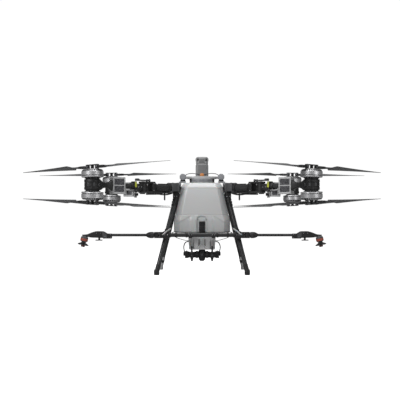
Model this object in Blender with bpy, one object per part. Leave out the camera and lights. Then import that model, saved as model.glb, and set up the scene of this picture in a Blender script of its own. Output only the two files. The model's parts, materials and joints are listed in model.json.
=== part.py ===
"""Agricultural spray drone with eight coaxial rotors on four folding arms.

+Z is up, the drone faces -Y and stands on z = 0 with the origin midway between its feet.
"""
import math

import bmesh
import bpy
from mathutils import Matrix, Vector

# Driving dimensions, in metres and degrees.
GAP = 0.0003
HINGE_X = 0.463
HINGE_Y = 0.5115
ARM_ANGLE = 40.45
ARM_REACH = 0.4755
ARM_TUBE_R = 0.021
ARM_TUBE_Z = 0.706
ROOT_TUBE_R = 0.030
ROOT_TUBE_Z = 0.694
ROOT_START = -0.262
LUG_R = 0.034
LUG_TOP = (0.728, 0.742)
LUG_BOTTOM = (0.655, 0.668)
POD_R = 0.0625
POD_Z = 0.710
ROTOR_CANT_UPPER = 2.0
ROTOR_CANT_LOWER = -2.5
BELL_R = 0.084
BELL_LOW = 0.0545
BELL_TOP = 0.116
BLADE_PLANE = 0.1335
BLADE_HINGE = 0.048
BLADE_SPAN = 0.712
BLADE_CHORD = 0.110
HUB_HALF = 0.064
FRONT_BLADE_ANGLE = 102.25
REAR_BLADE_ANGLE = 99.55
TANK_BASE = 0.335
TANK_TOP = 0.740
TANK_WALL = 0.007
TANK_BACK = 0.055
CAP_Y = -0.160
CAP_R = 0.087
NECK_R = 0.080
NECK_BORE = 0.070
NECK_TOP = 0.746
BATTERY = ((-0.054, 0.054), (0.100, 0.260), (0.560, 0.970))
BEAM_X = (0.182, 0.235)
BEAM_Z = (0.668, 0.728)
LEG_R = 0.0175
LEG_TOP = (0.2075, 0.262, 0.640)
LEG_FOOT = (0.361, 0.396, 0.022)
CROSSBAR_Y = -0.420
CROSSBAR_Z = 0.320
CROSSBAR_R = 0.016
BOOM_PIVOT_X = 0.360
BOOM_TUBE_R = 0.0110
HOSE_R = 0.0042
SPRINKLER_REACH = 0.575
KNUCKLE_R = 0.0205
HOSE_START_Z = 0.180
# Sections of the arched sprinkler arm, out from the fold: x, lowest z, highest z, half width.
HUMP_SECTIONS = (
    (0.390, -0.024, 0.0120, 0.013),
    (0.418, -0.024, 0.0310, 0.014),
    (0.480, -0.0175, 0.0320, 0.014),
    (0.515, -0.0150, 0.0215, 0.013),
    (0.552, -0.0085, 0.0060, 0.012),
    (0.592, -0.0045, 0.0035, 0.010),
)
SPRINKLER_TILT = -12.0

COLOURS = {
    "carbon": ((0.035, 0.036, 0.038), 0.45, 0.0),
    "blade": ((0.050, 0.051, 0.054), 0.50, 0.0),
    "black_plastic": ((0.022, 0.022, 0.024), 0.55, 0.0),
    "silver": ((0.42, 0.42, 0.43), 0.35, 0.7),
    "tank_grey": ((0.50, 0.51, 0.53), 0.42, 0.0),
    "shell_grey": ((0.33, 0.34, 0.35), 0.50, 0.0),
    "battery_grey": ((0.26, 0.26, 0.27), 0.50, 0.0),
    "orange": ((0.50, 0.09, 0.05), 0.45, 0.0),
    "rubber": ((0.012, 0.012, 0.012), 0.80, 0.0),
}

# Each arm: name, side of X, side of Y, sense of its cant, and its blades' angle off the arm.
ARMS = (
    ("front_left", -1, -1, 1, FRONT_BLADE_ANGLE),
    ("front_right", 1, -1, -1, FRONT_BLADE_ANGLE),
    ("rear_left", -1, 1, -1, REAR_BLADE_ANGLE),
    ("rear_right", 1, 1, 1, REAR_BLADE_ANGLE),
)


def clear_scene():
    for obj in list(bpy.data.objects):
        bpy.data.objects.remove(obj, do_unlink=True)


def make_material(name, colour, roughness, metallic):
    material = bpy.data.materials.new(name)
    material.use_nodes = True
    shader = material.node_tree.nodes["Principled BSDF"]
    shader.inputs["Base Color"].default_value = (*colour, 1.0)
    shader.inputs["Roughness"].default_value = roughness
    shader.inputs["Metallic"].default_value = metallic
    return material


# Solids ----------------------------------------------------------------------------------

def loft(rings):
    """A closed solid through rings of equal length, each listed as points."""
    bm = bmesh.new()
    loops = [[bm.verts.new(point) for point in ring] for ring in rings]
    count = len(loops[0])
    for low, high in zip(loops, loops[1:]):
        for i in range(count):
            j = (i + 1) % count
            bm.faces.new((low[i], low[j], high[j], high[i]))
    bm.faces.new(list(reversed(loops[0])))
    bm.faces.new(loops[-1])
    bmesh.ops.recalc_face_normals(bm, faces=bm.faces)
    return bm


def block(xs, ys, zs, bevel=0.0):
    """A box between three pairs of limits, with its edges bevelled if asked."""
    corners = ((xs[0], ys[0]), (xs[1], ys[0]), (xs[1], ys[1]), (xs[0], ys[1]))
    bm = loft([[(x, y, z) for x, y in corners] for z in zs])
    if bevel > 0.0:
        bmesh.ops.bevel(bm, geom=bm.edges[:], offset=bevel, segments=1, affect="EDGES")
    return bm


def moved(bm, matrix):
    bm.transform(matrix)
    return bm


def turned(profile, segments=20):
    """A solid of revolution about Z from (radius, height) pairs, closed by a flat at each end."""
    rings = []
    for radius, height in profile:
        angles = [2.0 * math.pi * i / segments for i in range(segments)]
        rings.append([(radius * math.cos(a), radius * math.sin(a), height) for a in angles])
    return loft(rings)


def frame_along(axis):
    """A rotation that takes +Z to the given axis."""
    return Vector((0, 0, 1)).rotation_difference(Vector(axis).normalized()).to_matrix().to_4x4()


def rod(start, end, radius, end_radius=None, segments=12):
    """A straight round bar between two points."""
    start = Vector(start)
    end = Vector(end)
    last = radius if end_radius is None else end_radius
    bar = turned([(radius, 0.0), (last, (end - start).length)], segments)
    return moved(bar, Matrix.Translation(start) @ frame_along(end - start))


def rounded_ring(xs, ys, z, corner, steps=4):
    """A rectangle with round corners at one height."""
    centres = (
        (xs[1] - corner, ys[1] - corner, 0),
        (xs[0] + corner, ys[1] - corner, 90),
        (xs[0] + corner, ys[0] + corner, 180),
        (xs[1] - corner, ys[0] + corner, 270),
    )
    ring = []
    for cx, cy, start in centres:
        for i in range(steps + 1):
            a = math.radians(start + 90.0 * i / steps)
            ring.append((cx + corner * math.cos(a), cy + corner * math.sin(a), z))
    return ring


# Objects ---------------------------------------------------------------------------------

def temporary(bm):
    mesh = bpy.data.meshes.new("piece")
    bm.to_mesh(mesh)
    bm.free()
    obj = bpy.data.objects.new("piece", mesh)
    bpy.context.collection.objects.link(obj)
    return obj


def combined_mesh(name, solids, cuts=()):
    """One closed mesh: the union of the solids, less the cuts."""
    base = temporary(solids[0])
    tools = [(temporary(bm), "UNION") for bm in solids[1:]]
    tools += [(temporary(bm), "DIFFERENCE") for bm in cuts]
    for tool, operation in tools:
        modifier = base.modifiers.new("join", "BOOLEAN")
        modifier.operation = operation
        modifier.solver = "EXACT"
        modifier.object = tool
    evaluated = base.evaluated_get(bpy.context.evaluated_depsgraph_get())
    mesh = bpy.data.meshes.new_from_object(evaluated)
    mesh.name = name
    for obj in [base] + [tool for tool, _ in tools]:
        bpy.data.objects.remove(obj, do_unlink=True)
    return mesh


def tidy_mesh(mesh):
    """Weld stray doubles that a union leaves and flatten coplanar slivers."""
    bm = bmesh.new()
    bm.from_mesh(mesh)
    bmesh.ops.remove_doubles(bm, verts=bm.verts, dist=0.00001)
    bmesh.ops.dissolve_degenerate(bm, edges=bm.edges, dist=0.00001)
    bm.to_mesh(mesh)
    bm.free()
    mesh.shade_smooth()
    mesh.set_sharp_from_angle(angle=math.radians(35))


def add_object(name, mesh, material, matrix=None, parent=None):
    """Place a mesh; the matrix is local to the parent when there is one."""
    obj = bpy.data.objects.new(name, mesh)
    bpy.context.collection.objects.link(obj)
    if not mesh.materials:
        mesh.materials.append(None)
    obj.material_slots[0].link = "OBJECT"
    obj.material_slots[0].material = make_material(name, *COLOURS[material])
    obj.parent = parent
    obj.matrix_local = matrix if matrix is not None else Matrix.Identity(4)
    return obj


def add_solid(name, material, solids, cuts=(), matrix=None, parent=None):
    mesh = combined_mesh(name, solids, cuts)
    tidy_mesh(mesh)
    return add_object(name, mesh, material, matrix, parent)


def world_solid(name, material, solids, cuts=(), pivot=(0.0, 0.0, 0.0)):
    """A part drawn in world coordinates whose origin is moved to its pivot."""
    shift = Matrix.Translation(-Vector(pivot))
    solids = [moved(bm, shift) for bm in solids]
    cuts = [moved(bm, shift) for bm in cuts]
    return add_solid(name, material, solids, cuts, Matrix.Translation(pivot))


# Rotors ----------------------------------------------------------------------------------

def rotor_mesh():
    """Motor bell with the two hub plates that clamp the blades."""
    bell = turned(
        [
            (BELL_R - 0.005, BELL_LOW),
            (BELL_R, BELL_LOW + 0.005),
            (BELL_R, BELL_TOP - 0.010),
            (BELL_R - 0.012, BELL_TOP - 0.001),
        ],
        24,
    )
    column = turned([(0.016, BELL_TOP - 0.010), (0.016, BLADE_PLANE + 0.017)], 12)
    plates = []
    for low in (-0.019, 0.0120):
        height = (BLADE_PLANE + low, BLADE_PLANE + low + 0.007)
        plates.append(block((-HUB_HALF, HUB_HALF), (-0.018, 0.018), height))
    mesh = combined_mesh("rotor", [bell, column] + plates)
    tidy_mesh(mesh)
    return mesh


def blade_chord(u):
    """Chord along the span: a narrow neck, a sudden shoulder, then a straight taper."""
    neck_end = 0.20
    if u < neck_end:
        return 0.036
    full = 0.235
    if u < full:
        return 0.036 + (BLADE_CHORD - 0.036) * (u - neck_end) / (full - neck_end)
    return BLADE_CHORD + (0.016 - BLADE_CHORD) * (u - full) / (1.0 - full)


def blade_mesh(name, hand):
    """A twisted carbon blade from its hinge eye outwards along +X; hand is 1 or -1."""
    rings = []
    for u in (0.015, 0.12, 0.20, 0.235, 0.32, 0.48, 0.64, 0.80, 0.93, 1.0):
        chord = blade_chord(u)
        thickness = 0.014 - 0.0115 * u
        twist = math.radians(17.0 - 11.0 * u) * hand if u > 0.2 else 0.0
        lead = 0.08 * (chord - 0.036) * hand
        ring = []
        for i in range(8):
            a = 2.0 * math.pi * i / 8
            y = 0.5 * chord * math.cos(a) + lead
            z = 0.5 * thickness * math.sin(a)
            ring.append(
                (
                    u * BLADE_SPAN,
                    y * math.cos(twist) - z * math.sin(twist),
                    y * math.sin(twist) + z * math.cos(twist),
                )
            )
        rings.append(ring)
    eye = turned([(0.0165, -0.0112), (0.0165, 0.0112)], 14)
    mesh = combined_mesh(name, [loft(rings), eye])
    tidy_mesh(mesh)
    return mesh


def arm_matrix(side_x, side_y):
    """World frame of an arm: origin on its fold hinge, +X outwards along the arm."""
    angle = math.atan2(
        side_y * math.sin(math.radians(ARM_ANGLE)), side_x * math.cos(math.radians(ARM_ANGLE))
    )
    hinge = Matrix.Translation((side_x * HINGE_X, side_y * HINGE_Y, 0.0))
    return hinge @ Matrix.Rotation(angle, 4, "Z")


def cant_matrix(level, sense):
    """Frame of one motor in the arm's frame: origin in the pod, +Z out along its shaft."""
    pod = Matrix.Translation((ARM_REACH, 0.0, POD_Z))
    cant = ROTOR_CANT_UPPER if level == "upper" else ROTOR_CANT_LOWER
    frame = pod @ Matrix.Rotation(math.radians(cant * sense), 4, "X")
    if level == "lower":
        frame = frame @ Matrix.Rotation(math.pi, 4, "X")
    return frame


def build_rotors(arm, name, sense, blade_angle, meshes):
    for level in ("upper", "lower"):
        turn = blade_angle * sense if level == "upper" else -blade_angle * sense
        frame = cant_matrix(level, sense) @ Matrix.Rotation(math.radians(turn), 4, "Z")
        rotor = add_object(f"motor_{name}_{level}", meshes["rotor"], "silver", frame, arm)
        hand = sense if level == "upper" else -sense
        for letter, half_turn in (("a", 0.0), ("b", math.pi)):
            place = Matrix.Rotation(half_turn, 4, "Z")
            place = place @ Matrix.Translation((BLADE_HINGE, 0.0, BLADE_PLANE))
            blade_name = f"blade_{name}_{level}_{letter}"
            add_object(blade_name, meshes[hand], "blade", place, rotor)


# Arms ------------------------------------------------------------------------------------

def arm_neck():
    """Waisted link between the motor controller and the pod."""
    stations = (
        (0.290, 0.022, 0.660, 0.752),
        (0.320, 0.014, 0.684, 0.728),
        (0.370, 0.016, 0.682, 0.730),
        (0.425, 0.036, 0.672, 0.748),
    )
    rings = []
    for x, half, low, high in stations:
        rings.append([(x, -half, low), (x, half, low), (x, half, high), (x, -half, high)])
    return loft(rings)


def arm_solids(sense):
    knuckle = turned([(0.032, LUG_BOTTOM[1] + 0.0007), (0.032, LUG_TOP[0] - 0.0007)], 20)
    collar = block((0.020, 0.078), (-0.0255, 0.0255), (0.6715, 0.7245))
    catch = block((0.075, 0.100), (-0.0265, 0.0265), (0.662, 0.742), 0.004)
    tube = rod((0.090, 0, ARM_TUBE_Z), (0.430, 0, ARM_TUBE_Z), ARM_TUBE_R, segments=14)
    controller = block((0.186, 0.302), (-0.026, 0.026), (0.641, 0.772), 0.008)
    pod = moved(turned([(POD_R, 0.669), (POD_R, 0.751)], 20), Matrix.Translation((ARM_REACH, 0, 0)))
    stators = []
    for level in ("upper", "lower"):
        disc = turned([(0.050, 0.010), (0.050, BELL_LOW - 0.0008)], 16)
        stators.append(moved(disc, cant_matrix(level, sense)))
    shelf = block((0.094, 0.178), (-0.018, 0.018), (0.670, 0.6765))
    post = block((0.172, 0.1775), (-0.0175, 0.0175), (0.630, 0.692))
    return [tube, knuckle, collar, catch, controller, arm_neck(), pod] + stators + [shelf, post]


def root_solids(side_y):
    tube = rod((ROOT_START, 0, ROOT_TUBE_Z), (-0.080, 0, ROOT_TUBE_Z), ROOT_TUBE_R, segments=16)
    cheek = block((-0.100, -0.070), (-0.033, 0.033), (LUG_BOTTOM[0], LUG_TOP[1]))
    solids = [tube, cheek]
    for low, high in (LUG_BOTTOM, LUG_TOP):
        solids.append(block((-0.075, -0.0005), (-0.0335, 0.0335), (low + 0.0004, high - 0.0004)))
        solids.append(turned([(LUG_R, low), (LUG_R, high)], 20))
    for y in (-0.0175, 0.0175):
        solids.append(block((-0.060, -0.040), (y - 0.003, y + 0.003), (0.738, 0.762)))
    if side_y < 0:
        solids.append(rod((-0.215, 0, 0.600), (-0.215, 0, 0.690), 0.005, segments=8))
    return solids


def lock_solids():
    """Over-centre lock lever, drawn about its own pivot."""
    barrel = rod((0, -0.0138, 0), (0, 0.0138, 0), 0.0078, segments=12)
    bar = block((-0.002, 0.118), (-0.0132, 0.0132), (-0.0070, 0.0040))
    thumb = block((0.085, 0.122), (-0.0160, 0.0160), (-0.0030, 0.0130), 0.003)
    return [barrel, bar, thumb]


def build_arms():
    meshes = {"rotor": rotor_mesh(), 1: blade_mesh("blade_right", 1), -1: blade_mesh("blade_left", -1)}
    for name, side_x, side_y, sense, blade_angle in ARMS:
        frame = arm_matrix(side_x, side_y)
        add_solid(f"arm_root_{name}", "carbon", root_solids(side_y), matrix=frame)
        arm = add_solid(f"arm_{name}", "carbon", arm_solids(sense), matrix=frame)
        lock_frame = frame @ Matrix.Translation((-0.050, 0.0, 0.7528))
        add_solid(f"arm_lock_{name}", "black_plastic", lock_solids(), matrix=lock_frame)
        build_rotors(arm, name, sense, blade_angle, meshes)


# Frame and legs --------------------------------------------------------------------------

def build_side_frames():
    for name, side in (("left", -1), ("right", 1)):
        xs = sorted((side * BEAM_X[0], side * BEAM_X[1]))
        solids = [block(xs, (-0.335, 0.335), BEAM_Z)]
        for side_y in (-1, 1):
            clamp = block((-0.340, ROOT_START - GAP), (-0.038, 0.038), (BEAM_Z[0], 0.737))
            solids.append(moved(clamp, arm_matrix(side, side_y)))
        cheek_xs = sorted((side * 0.172, side * 0.192))
        solids.append(block(cheek_xs, (-0.170, -0.050), (0.718, 0.752)))
        base_xs = sorted((side * 0.131, side * 0.183))
        solids.append(block(base_xs, (-0.160, -0.060), (0.7445, 0.766)))
        knob = turned([(0.0285, -0.105), (0.0285, 0.0)], 8)
        lay = Matrix.Translation((side * 0.157, -0.1620, 0.7905)) @ Matrix.Rotation(math.pi / 2, 4, "X")
        solids.append(moved(moved(knob, Matrix.Rotation(math.pi / 8, 4, "Z")), lay))
        world_solid(f"side_frame_{name}", "shell_grey", solids)


def leg_solids(side_x, side_y):
    top = Vector((side_x * LEG_TOP[0], side_y * LEG_TOP[1], LEG_TOP[2]))
    foot = Vector((side_x * LEG_FOOT[0], side_y * LEG_FOOT[1], LEG_FOOT[2]))
    pad_profile = [(0.0165, 0.0), (0.0215, 0.006), (0.0225, 0.024), (0.0195, 0.046)]
    pad = moved(turned(pad_profile, 14), Matrix.Translation((foot.x, foot.y, 0.0)))
    xs = sorted((side_x * 0.191, side_x * 0.236))
    ys = sorted((side_y * 0.232, side_y * 0.292))
    head = block(xs, ys, (0.616, BEAM_Z[0] - GAP), 0.004)
    solids = [rod(top, foot, LEG_R, segments=12), pad, head]
    if side_y < 0:
        boss_xs = sorted((side_x * 0.262, side_x * 0.308))
        solids.append(block(boss_xs, (-0.357, -0.312), (0.297, 0.343)))
    return solids


def build_legs():
    for name, side_x, side_y, _, _ in ARMS:
        world_solid(f"leg_{name}", "carbon", leg_solids(side_x, side_y))


# Tank, battery and covers ----------------------------------------------------------------

def tank_rings(inset):
    """Rounded sections of the tank, wide at the foot and narrow at the top."""
    levels = (
        (TANK_BASE, 0.221, -0.322),
        (TANK_BASE + 0.010, 0.227, -0.330),
        (0.440, 0.227, -0.330),
        (0.480, 0.214, -0.322),
        (0.722, 0.164, -0.302),
        (TANK_TOP, 0.154, -0.290),
    )
    rings = []
    for i, (z, half, front) in enumerate(levels):
        height = z + inset if i == 0 else z - inset if i == len(levels) - 1 else z
        xs = (-half + inset, half - inset)
        rings.append(rounded_ring(xs, (front + inset, TANK_BACK - inset), height, 0.050 - inset))
    return rings


def build_tank():
    neck = turned([(NECK_R, TANK_TOP - 0.004), (NECK_R, NECK_TOP)], 28)
    bore = turned([(NECK_BORE, TANK_TOP - 0.020), (NECK_BORE, NECK_TOP + 0.010)], 28)
    place = Matrix.Translation((0.0, CAP_Y, 0.0))
    inner = loft(tank_rings(TANK_WALL))
    solids = [loft(tank_rings(0.0)), moved(neck, place)]
    world_solid("tank", "tank_grey", solids, [inner, moved(bore, place)])

    lid = turned([(CAP_R, NECK_TOP + 0.0006), (CAP_R, 0.768), (CAP_R - 0.009, 0.777)], 28)
    tab = block((-0.022, 0.022), (-0.090, -0.062), (0.7490, 0.7620))
    world_solid("tank_cap", "shell_grey", [moved(lid, place), tab], pivot=(0.0, -0.064, 0.756))


def build_battery():
    xs, ys, zs = BATTERY
    pivot = (0.0, 0.5 * (ys[0] + ys[1]), zs[0])
    world_solid("battery", "battery_grey", [block(xs, ys, zs, 0.009)], pivot=pivot)
    shell = block((-0.105, 0.105), (0.0875, 0.285), (0.500, 0.765), 0.006)
    wings = block((-BEAM_X[0] + GAP, BEAM_X[0] - GAP), (0.160, 0.220), (0.675, 0.720))
    side_gap = 0.0012
    pocket = block(
        (xs[0] - side_gap, xs[1] + side_gap),
        (ys[0] - side_gap, ys[1] + side_gap),
        (zs[0] - GAP, 0.800),
    )
    world_solid("battery_bay", "black_plastic", [shell, wings], [pocket])


def build_covers():
    plate_rings = []
    for z, grow in ((0.779, 0.0), (0.783, 0.004), (0.796, 0.004), (0.801, 0.0)):
        ring = []
        for i in range(28):
            a = 2.0 * math.pi * i / 28
            ring.append(((0.131 + grow) * math.cos(a), 0.018 + (0.058 + grow) * math.sin(a), z))
        plate_rings.append(ring)
    base = block((-0.098, 0.098), (-0.044, 0.078), (0.7445, 0.785), 0.004)
    world_solid("top_cover", "tank_grey", [base, loft(plate_rings)])
    rear = [block((-BEAM_X[0] + GAP, BEAM_X[0] - GAP), (0.288, 0.315), (0.675, 0.720))]
    world_solid("rear_beam", "carbon", rear)
    sensor = [block((-0.060, 0.060), (0.3153, 0.365), (0.630, 0.750), 0.010)]
    world_solid("rear_sensor", "black_plastic", sensor)


# Spraying gear ---------------------------------------------------------------------------

def build_sump():
    levels = ((0.200, 0.103, -0.318, -0.186), (0.292, 0.110, -0.326, -0.172),
              (TANK_BASE - GAP, 0.110, -0.326, -0.172))
    rings = [rounded_ring((-half, half), (front, back), z, 0.010, 2) for z, half, front, back in levels]
    world_solid("sump", "shell_grey", [loft(rings)])


def build_manifold():
    y = -0.252
    z = 0.158
    solids = [rod((-0.128, y, z), (0.128, y, z), 0.025, segments=14)]
    for side in (-1, 1):
        solids.append(rod((side * 0.110, y, z), (side * 0.138, y, z), 0.030, segments=14))
        elbow = sorted((side * 0.130, side * 0.1515))
        solids.append(block(elbow, (y - 0.009, y + 0.009), (z - 0.010, HOSE_START_Z - GAP)))
        solids.append(rod((side * 0.082, -0.338, z), (side * 0.082, y, z), 0.013, segments=10))
        solids.append(rod((side * 0.082, -0.335, z), (side * 0.082, -0.335, 0.230), 0.0075, segments=10))
    belly = [(0.010, 0.106), (0.026, 0.120), (0.030, 0.148), (0.030, 0.186), (0.022, 0.1995)]
    solids.append(moved(turned(belly, 16), Matrix.Translation((0, y, 0))))
    solids.append(rod((0, y - 0.052, z), (0, y, z), 0.013, segments=10))
    for x in (-0.082, 0.082):
        solids.append(rod((x, y, 0.150), (x, y, 0.104), 0.014, 0.006, segments=10))
    world_solid("pump_manifold", "black_plastic", solids)


def build_crossbar():
    bar_end = 0.330
    y = CROSSBAR_Y
    z = CROSSBAR_Z
    solids = [rod((-bar_end, y, z), (bar_end, y, z), CROSSBAR_R, segments=14)]
    for side in (-1, 1):
        hanger = sorted((side * 0.077, side * 0.107))
        solids.append(block(hanger, (y - 0.022, -0.3265), (z - 0.025, z + 0.012)))
        stay = sorted((side * 0.262, side * 0.312))
        solids.append(block(stay, (y - 0.020, -0.357 - GAP), (z - 0.030, z + 0.030)))
        fork = sorted((side * 0.310, side * 0.337))
        solids.append(block(fork, (y - 0.018, y + 0.018), (z - 0.0250, z + 0.0250)))
        for low, high in ((0.0165, 0.0245), (-0.0245, -0.0165)):
            ear = sorted((side * 0.330, side * BOOM_PIVOT_X))
            solids.append(block(ear, (y - 0.0165, y + 0.0165), (z + low, z + high)))
            disc = turned([(KNUCKLE_R, low + 0.0004), (KNUCKLE_R, high - 0.0004)], 16)
            solids.append(moved(disc, Matrix.Translation((side * BOOM_PIVOT_X, y, z))))
    world_solid("crossbar", "carbon", solids)


def sprinkler_matrix():
    """Frame of the sprinkler on the boom: -Z is the way it sprays, leaning outwards."""
    place = Matrix.Translation((SPRINKLER_REACH, 0.0, -0.035))
    return place @ Matrix.Rotation(math.radians(SPRINKLER_TILT), 4, "Y")


def boom_solids():
    knuckle = turned([(KNUCKLE_R, -0.0158), (KNUCKLE_R, 0.0158)], 16)
    stub = block((0.010, 0.030), (-0.0150, 0.0150), (-0.0152, 0.0152))
    sleeve_profile = [(0.0225, 0.0217), (0.0250, 0.028), (0.0250, 0.054), (0.0200, 0.068), (0.0130, 0.082)]
    lay = Matrix.Rotation(math.pi / 2, 4, "Y")
    sleeve = moved(turned(sleeve_profile, 14), lay)
    tube = rod((0.080, 0, 0), (0.380, 0, 0), BOOM_TUBE_R, segments=10)
    clamp = block((0.354, 0.428), (-0.014, 0.014), (-0.028, 0.0125), 0.003)
    latch = block((0.448, 0.464), (-0.008, 0.008), (-0.040, -0.010))
    latch_foot = block((0.430, 0.486), (-0.009, 0.009), (-0.0445, -0.0365))
    hump_rings = []
    for x, low, high, half in HUMP_SECTIONS:
        hump_rings.append([(x, -half, low), (x, half, low), (x, half, high), (x, -half, high)])
    return [tube, sleeve, knuckle, stub, clamp, loft(hump_rings), latch, latch_foot]


def star_ring(height, outer, inner, points=8):
    ring = []
    for i in range(2 * points):
        a = math.pi * i / points
        radius = outer if i % 2 == 0 else inner
        ring.append((radius * math.cos(a), radius * math.sin(a), height))
    return ring


def build_booms():
    for name, side in (("left", -1), ("right", 1)):
        turn = Matrix.Rotation(math.pi if side < 0 else 0.0, 4, "Z")
        frame = Matrix.Translation((side * BOOM_PIVOT_X, CROSSBAR_Y, CROSSBAR_Z)) @ turn
        boom = add_solid(f"boom_{name}", "carbon", boom_solids(), matrix=frame)
        shell = [(0.0210, -0.0190), (0.0290, -0.0125), (0.0300, 0.0080), (0.0265, 0.0180), (0.0190, 0.0260)]
        body = turned(shell, 20)
        head = sprinkler_matrix()
        add_solid(f"sprinkler_{name}", "black_plastic", [body], matrix=head, parent=boom)
        rings = [star_ring(-0.0290, 0.034, 0.022), star_ring(-0.0400, 0.044, 0.026),
                 star_ring(-0.0450, 0.044, 0.026)]
        shaft = turned([(0.018, -0.0193), (0.018, -0.0380)], 14)
        tip = turned([(0.0155, -0.0440), (0.0145, -0.0600)], 12)
        disc = [loft(rings), shaft, tip]
        add_solid(f"spray_disc_{name}", "orange", disc, matrix=head, parent=boom)


def hose_points(side):
    """Smooth curve from the elbow at the manifold's end over to the side of the sump."""
    route = ((0.1435, -0.252, HOSE_START_Z), (0.1435, -0.252, 0.184), (0.1440, -0.252, 0.190),
             (0.1470, -0.253, 0.210), (0.1465, -0.256, 0.228), (0.1405, -0.260, 0.2465),
             (0.1290, -0.263, 0.2595), (0.1190, -0.264, 0.2635), (0.1140, -0.264, 0.2640),
             (0.1092, -0.264, 0.2640))
    knots = [Vector((side * x, y, z)) for x, y, z in route]
    points = []
    for i in range(len(knots) - 1):
        before = knots[max(i - 1, 0)]
        after = knots[min(i + 2, len(knots) - 1)]
        for step in range(4):
            t = step / 4.0
            first = (knots[i + 1] - before) * 0.5
            second = (after - knots[i]) * 0.5
            points.append(
                (2 * t**3 - 3 * t**2 + 1) * knots[i]
                + (t**3 - 2 * t**2 + t) * first
                + (3 * t**2 - 2 * t**3) * knots[i + 1]
                + (t**3 - t**2) * second
            )
    points.append(knots[-1])
    return points


def build_hoses():
    for name, side in (("left", -1), ("right", 1)):
        points = hose_points(side)
        curve = bpy.data.curves.new(f"hose_{name}", "CURVE")
        curve.dimensions = "3D"
        curve.bevel_depth = HOSE_R
        curve.bevel_resolution = 2
        curve.use_fill_caps = True
        spline = curve.splines.new("POLY")
        spline.points.add(len(points) - 1)
        for target, point in zip(spline.points, points):
            target.co = (*point, 1.0)
        hose = bpy.data.objects.new(f"hose_{name}", curve)
        bpy.context.collection.objects.link(hose)
        curve.materials.append(make_material(f"hose_{name}", *COLOURS["rubber"]))


def build():
    clear_scene()
    build_arms()
    build_side_frames()
    build_legs()
    build_tank()
    build_battery()
    build_covers()
    build_sump()
    build_manifold()
    build_crossbar()
    build_booms()
    build_hoses()


build()
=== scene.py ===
import json
import math

import bpy
import numpy as np
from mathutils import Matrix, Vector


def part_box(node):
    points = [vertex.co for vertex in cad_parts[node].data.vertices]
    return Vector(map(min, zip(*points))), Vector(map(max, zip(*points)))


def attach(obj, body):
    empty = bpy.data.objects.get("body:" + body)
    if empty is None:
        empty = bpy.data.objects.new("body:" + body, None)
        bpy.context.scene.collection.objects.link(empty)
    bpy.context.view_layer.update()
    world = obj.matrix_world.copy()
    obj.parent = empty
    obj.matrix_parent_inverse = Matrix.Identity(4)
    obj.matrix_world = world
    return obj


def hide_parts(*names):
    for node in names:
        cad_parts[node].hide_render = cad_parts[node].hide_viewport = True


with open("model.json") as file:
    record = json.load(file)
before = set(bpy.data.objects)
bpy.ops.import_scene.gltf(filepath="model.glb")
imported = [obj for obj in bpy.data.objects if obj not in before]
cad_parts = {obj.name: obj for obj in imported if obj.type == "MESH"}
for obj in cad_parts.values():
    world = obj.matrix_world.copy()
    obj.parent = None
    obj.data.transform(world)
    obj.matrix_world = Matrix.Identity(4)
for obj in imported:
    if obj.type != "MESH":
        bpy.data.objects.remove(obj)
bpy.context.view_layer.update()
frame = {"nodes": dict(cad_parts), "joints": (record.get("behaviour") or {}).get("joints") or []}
joints = {joint["name"]: joint for joint in frame["joints"]}
armNames = ("front_left", "front_right", "rear_left", "rear_right")
bothSides = (("left", -1), ("right", 1))
print("stage: frame loaded,", len(frame["nodes"]), "nodes")


# surfaces: every shell is (points, faces), worked out as whole arrays

def unit(v):
    v = np.asarray(v, float)
    return v / np.linalg.norm(v)


def frameAt(origin, xDir, zDir):
    # right-handed frame: z is kept, x is made square to it, y = z cross x
    z = unit(zDir)
    x = unit(np.asarray(xDir, float) - np.dot(xDir, z) * z)
    place = np.eye(4)
    place[:3, 0], place[:3, 1], place[:3, 2] = x, np.cross(z, x), z
    place[:3, 3] = origin
    return place


def shiftBy(x, y, z):
    place = np.eye(4)
    place[:3, 3] = (x, y, z)
    return place


def turnBy(angle, axis="Z"):
    # rotation about one axis by an angle in degrees
    c, s = math.cos(math.radians(angle)), math.sin(math.radians(angle))
    i, j = {"X": (1, 2), "Y": (2, 0), "Z": (0, 1)}[axis]
    place = np.eye(4)
    place[i, i], place[i, j], place[j, i], place[j, j] = c, -s, s, c
    return place


def carried(points, place):
    return np.asarray(points) @ place[:3, :3].T + place[:3, 3]


def facing(at, axis, sign=1):
    # frame at a point whose z looks along world X or Y, either way
    if axis == "X":
        return frameAt(at, (0, 0, 1), (sign, 0, 0))
    return frameAt(at, (1, 0, 0), (0, sign, 0))


def atHeight(outline, z):
    # flat outline lifted to one height
    return np.column_stack([outline, np.full(len(outline), z)])


def atStation(outline, x, middle=0.0):
    # the same outline stood up across the x axis, its middle at a height
    return np.column_stack([np.full(len(outline), x), outline[:, 0], outline[:, 1] + middle])


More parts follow.
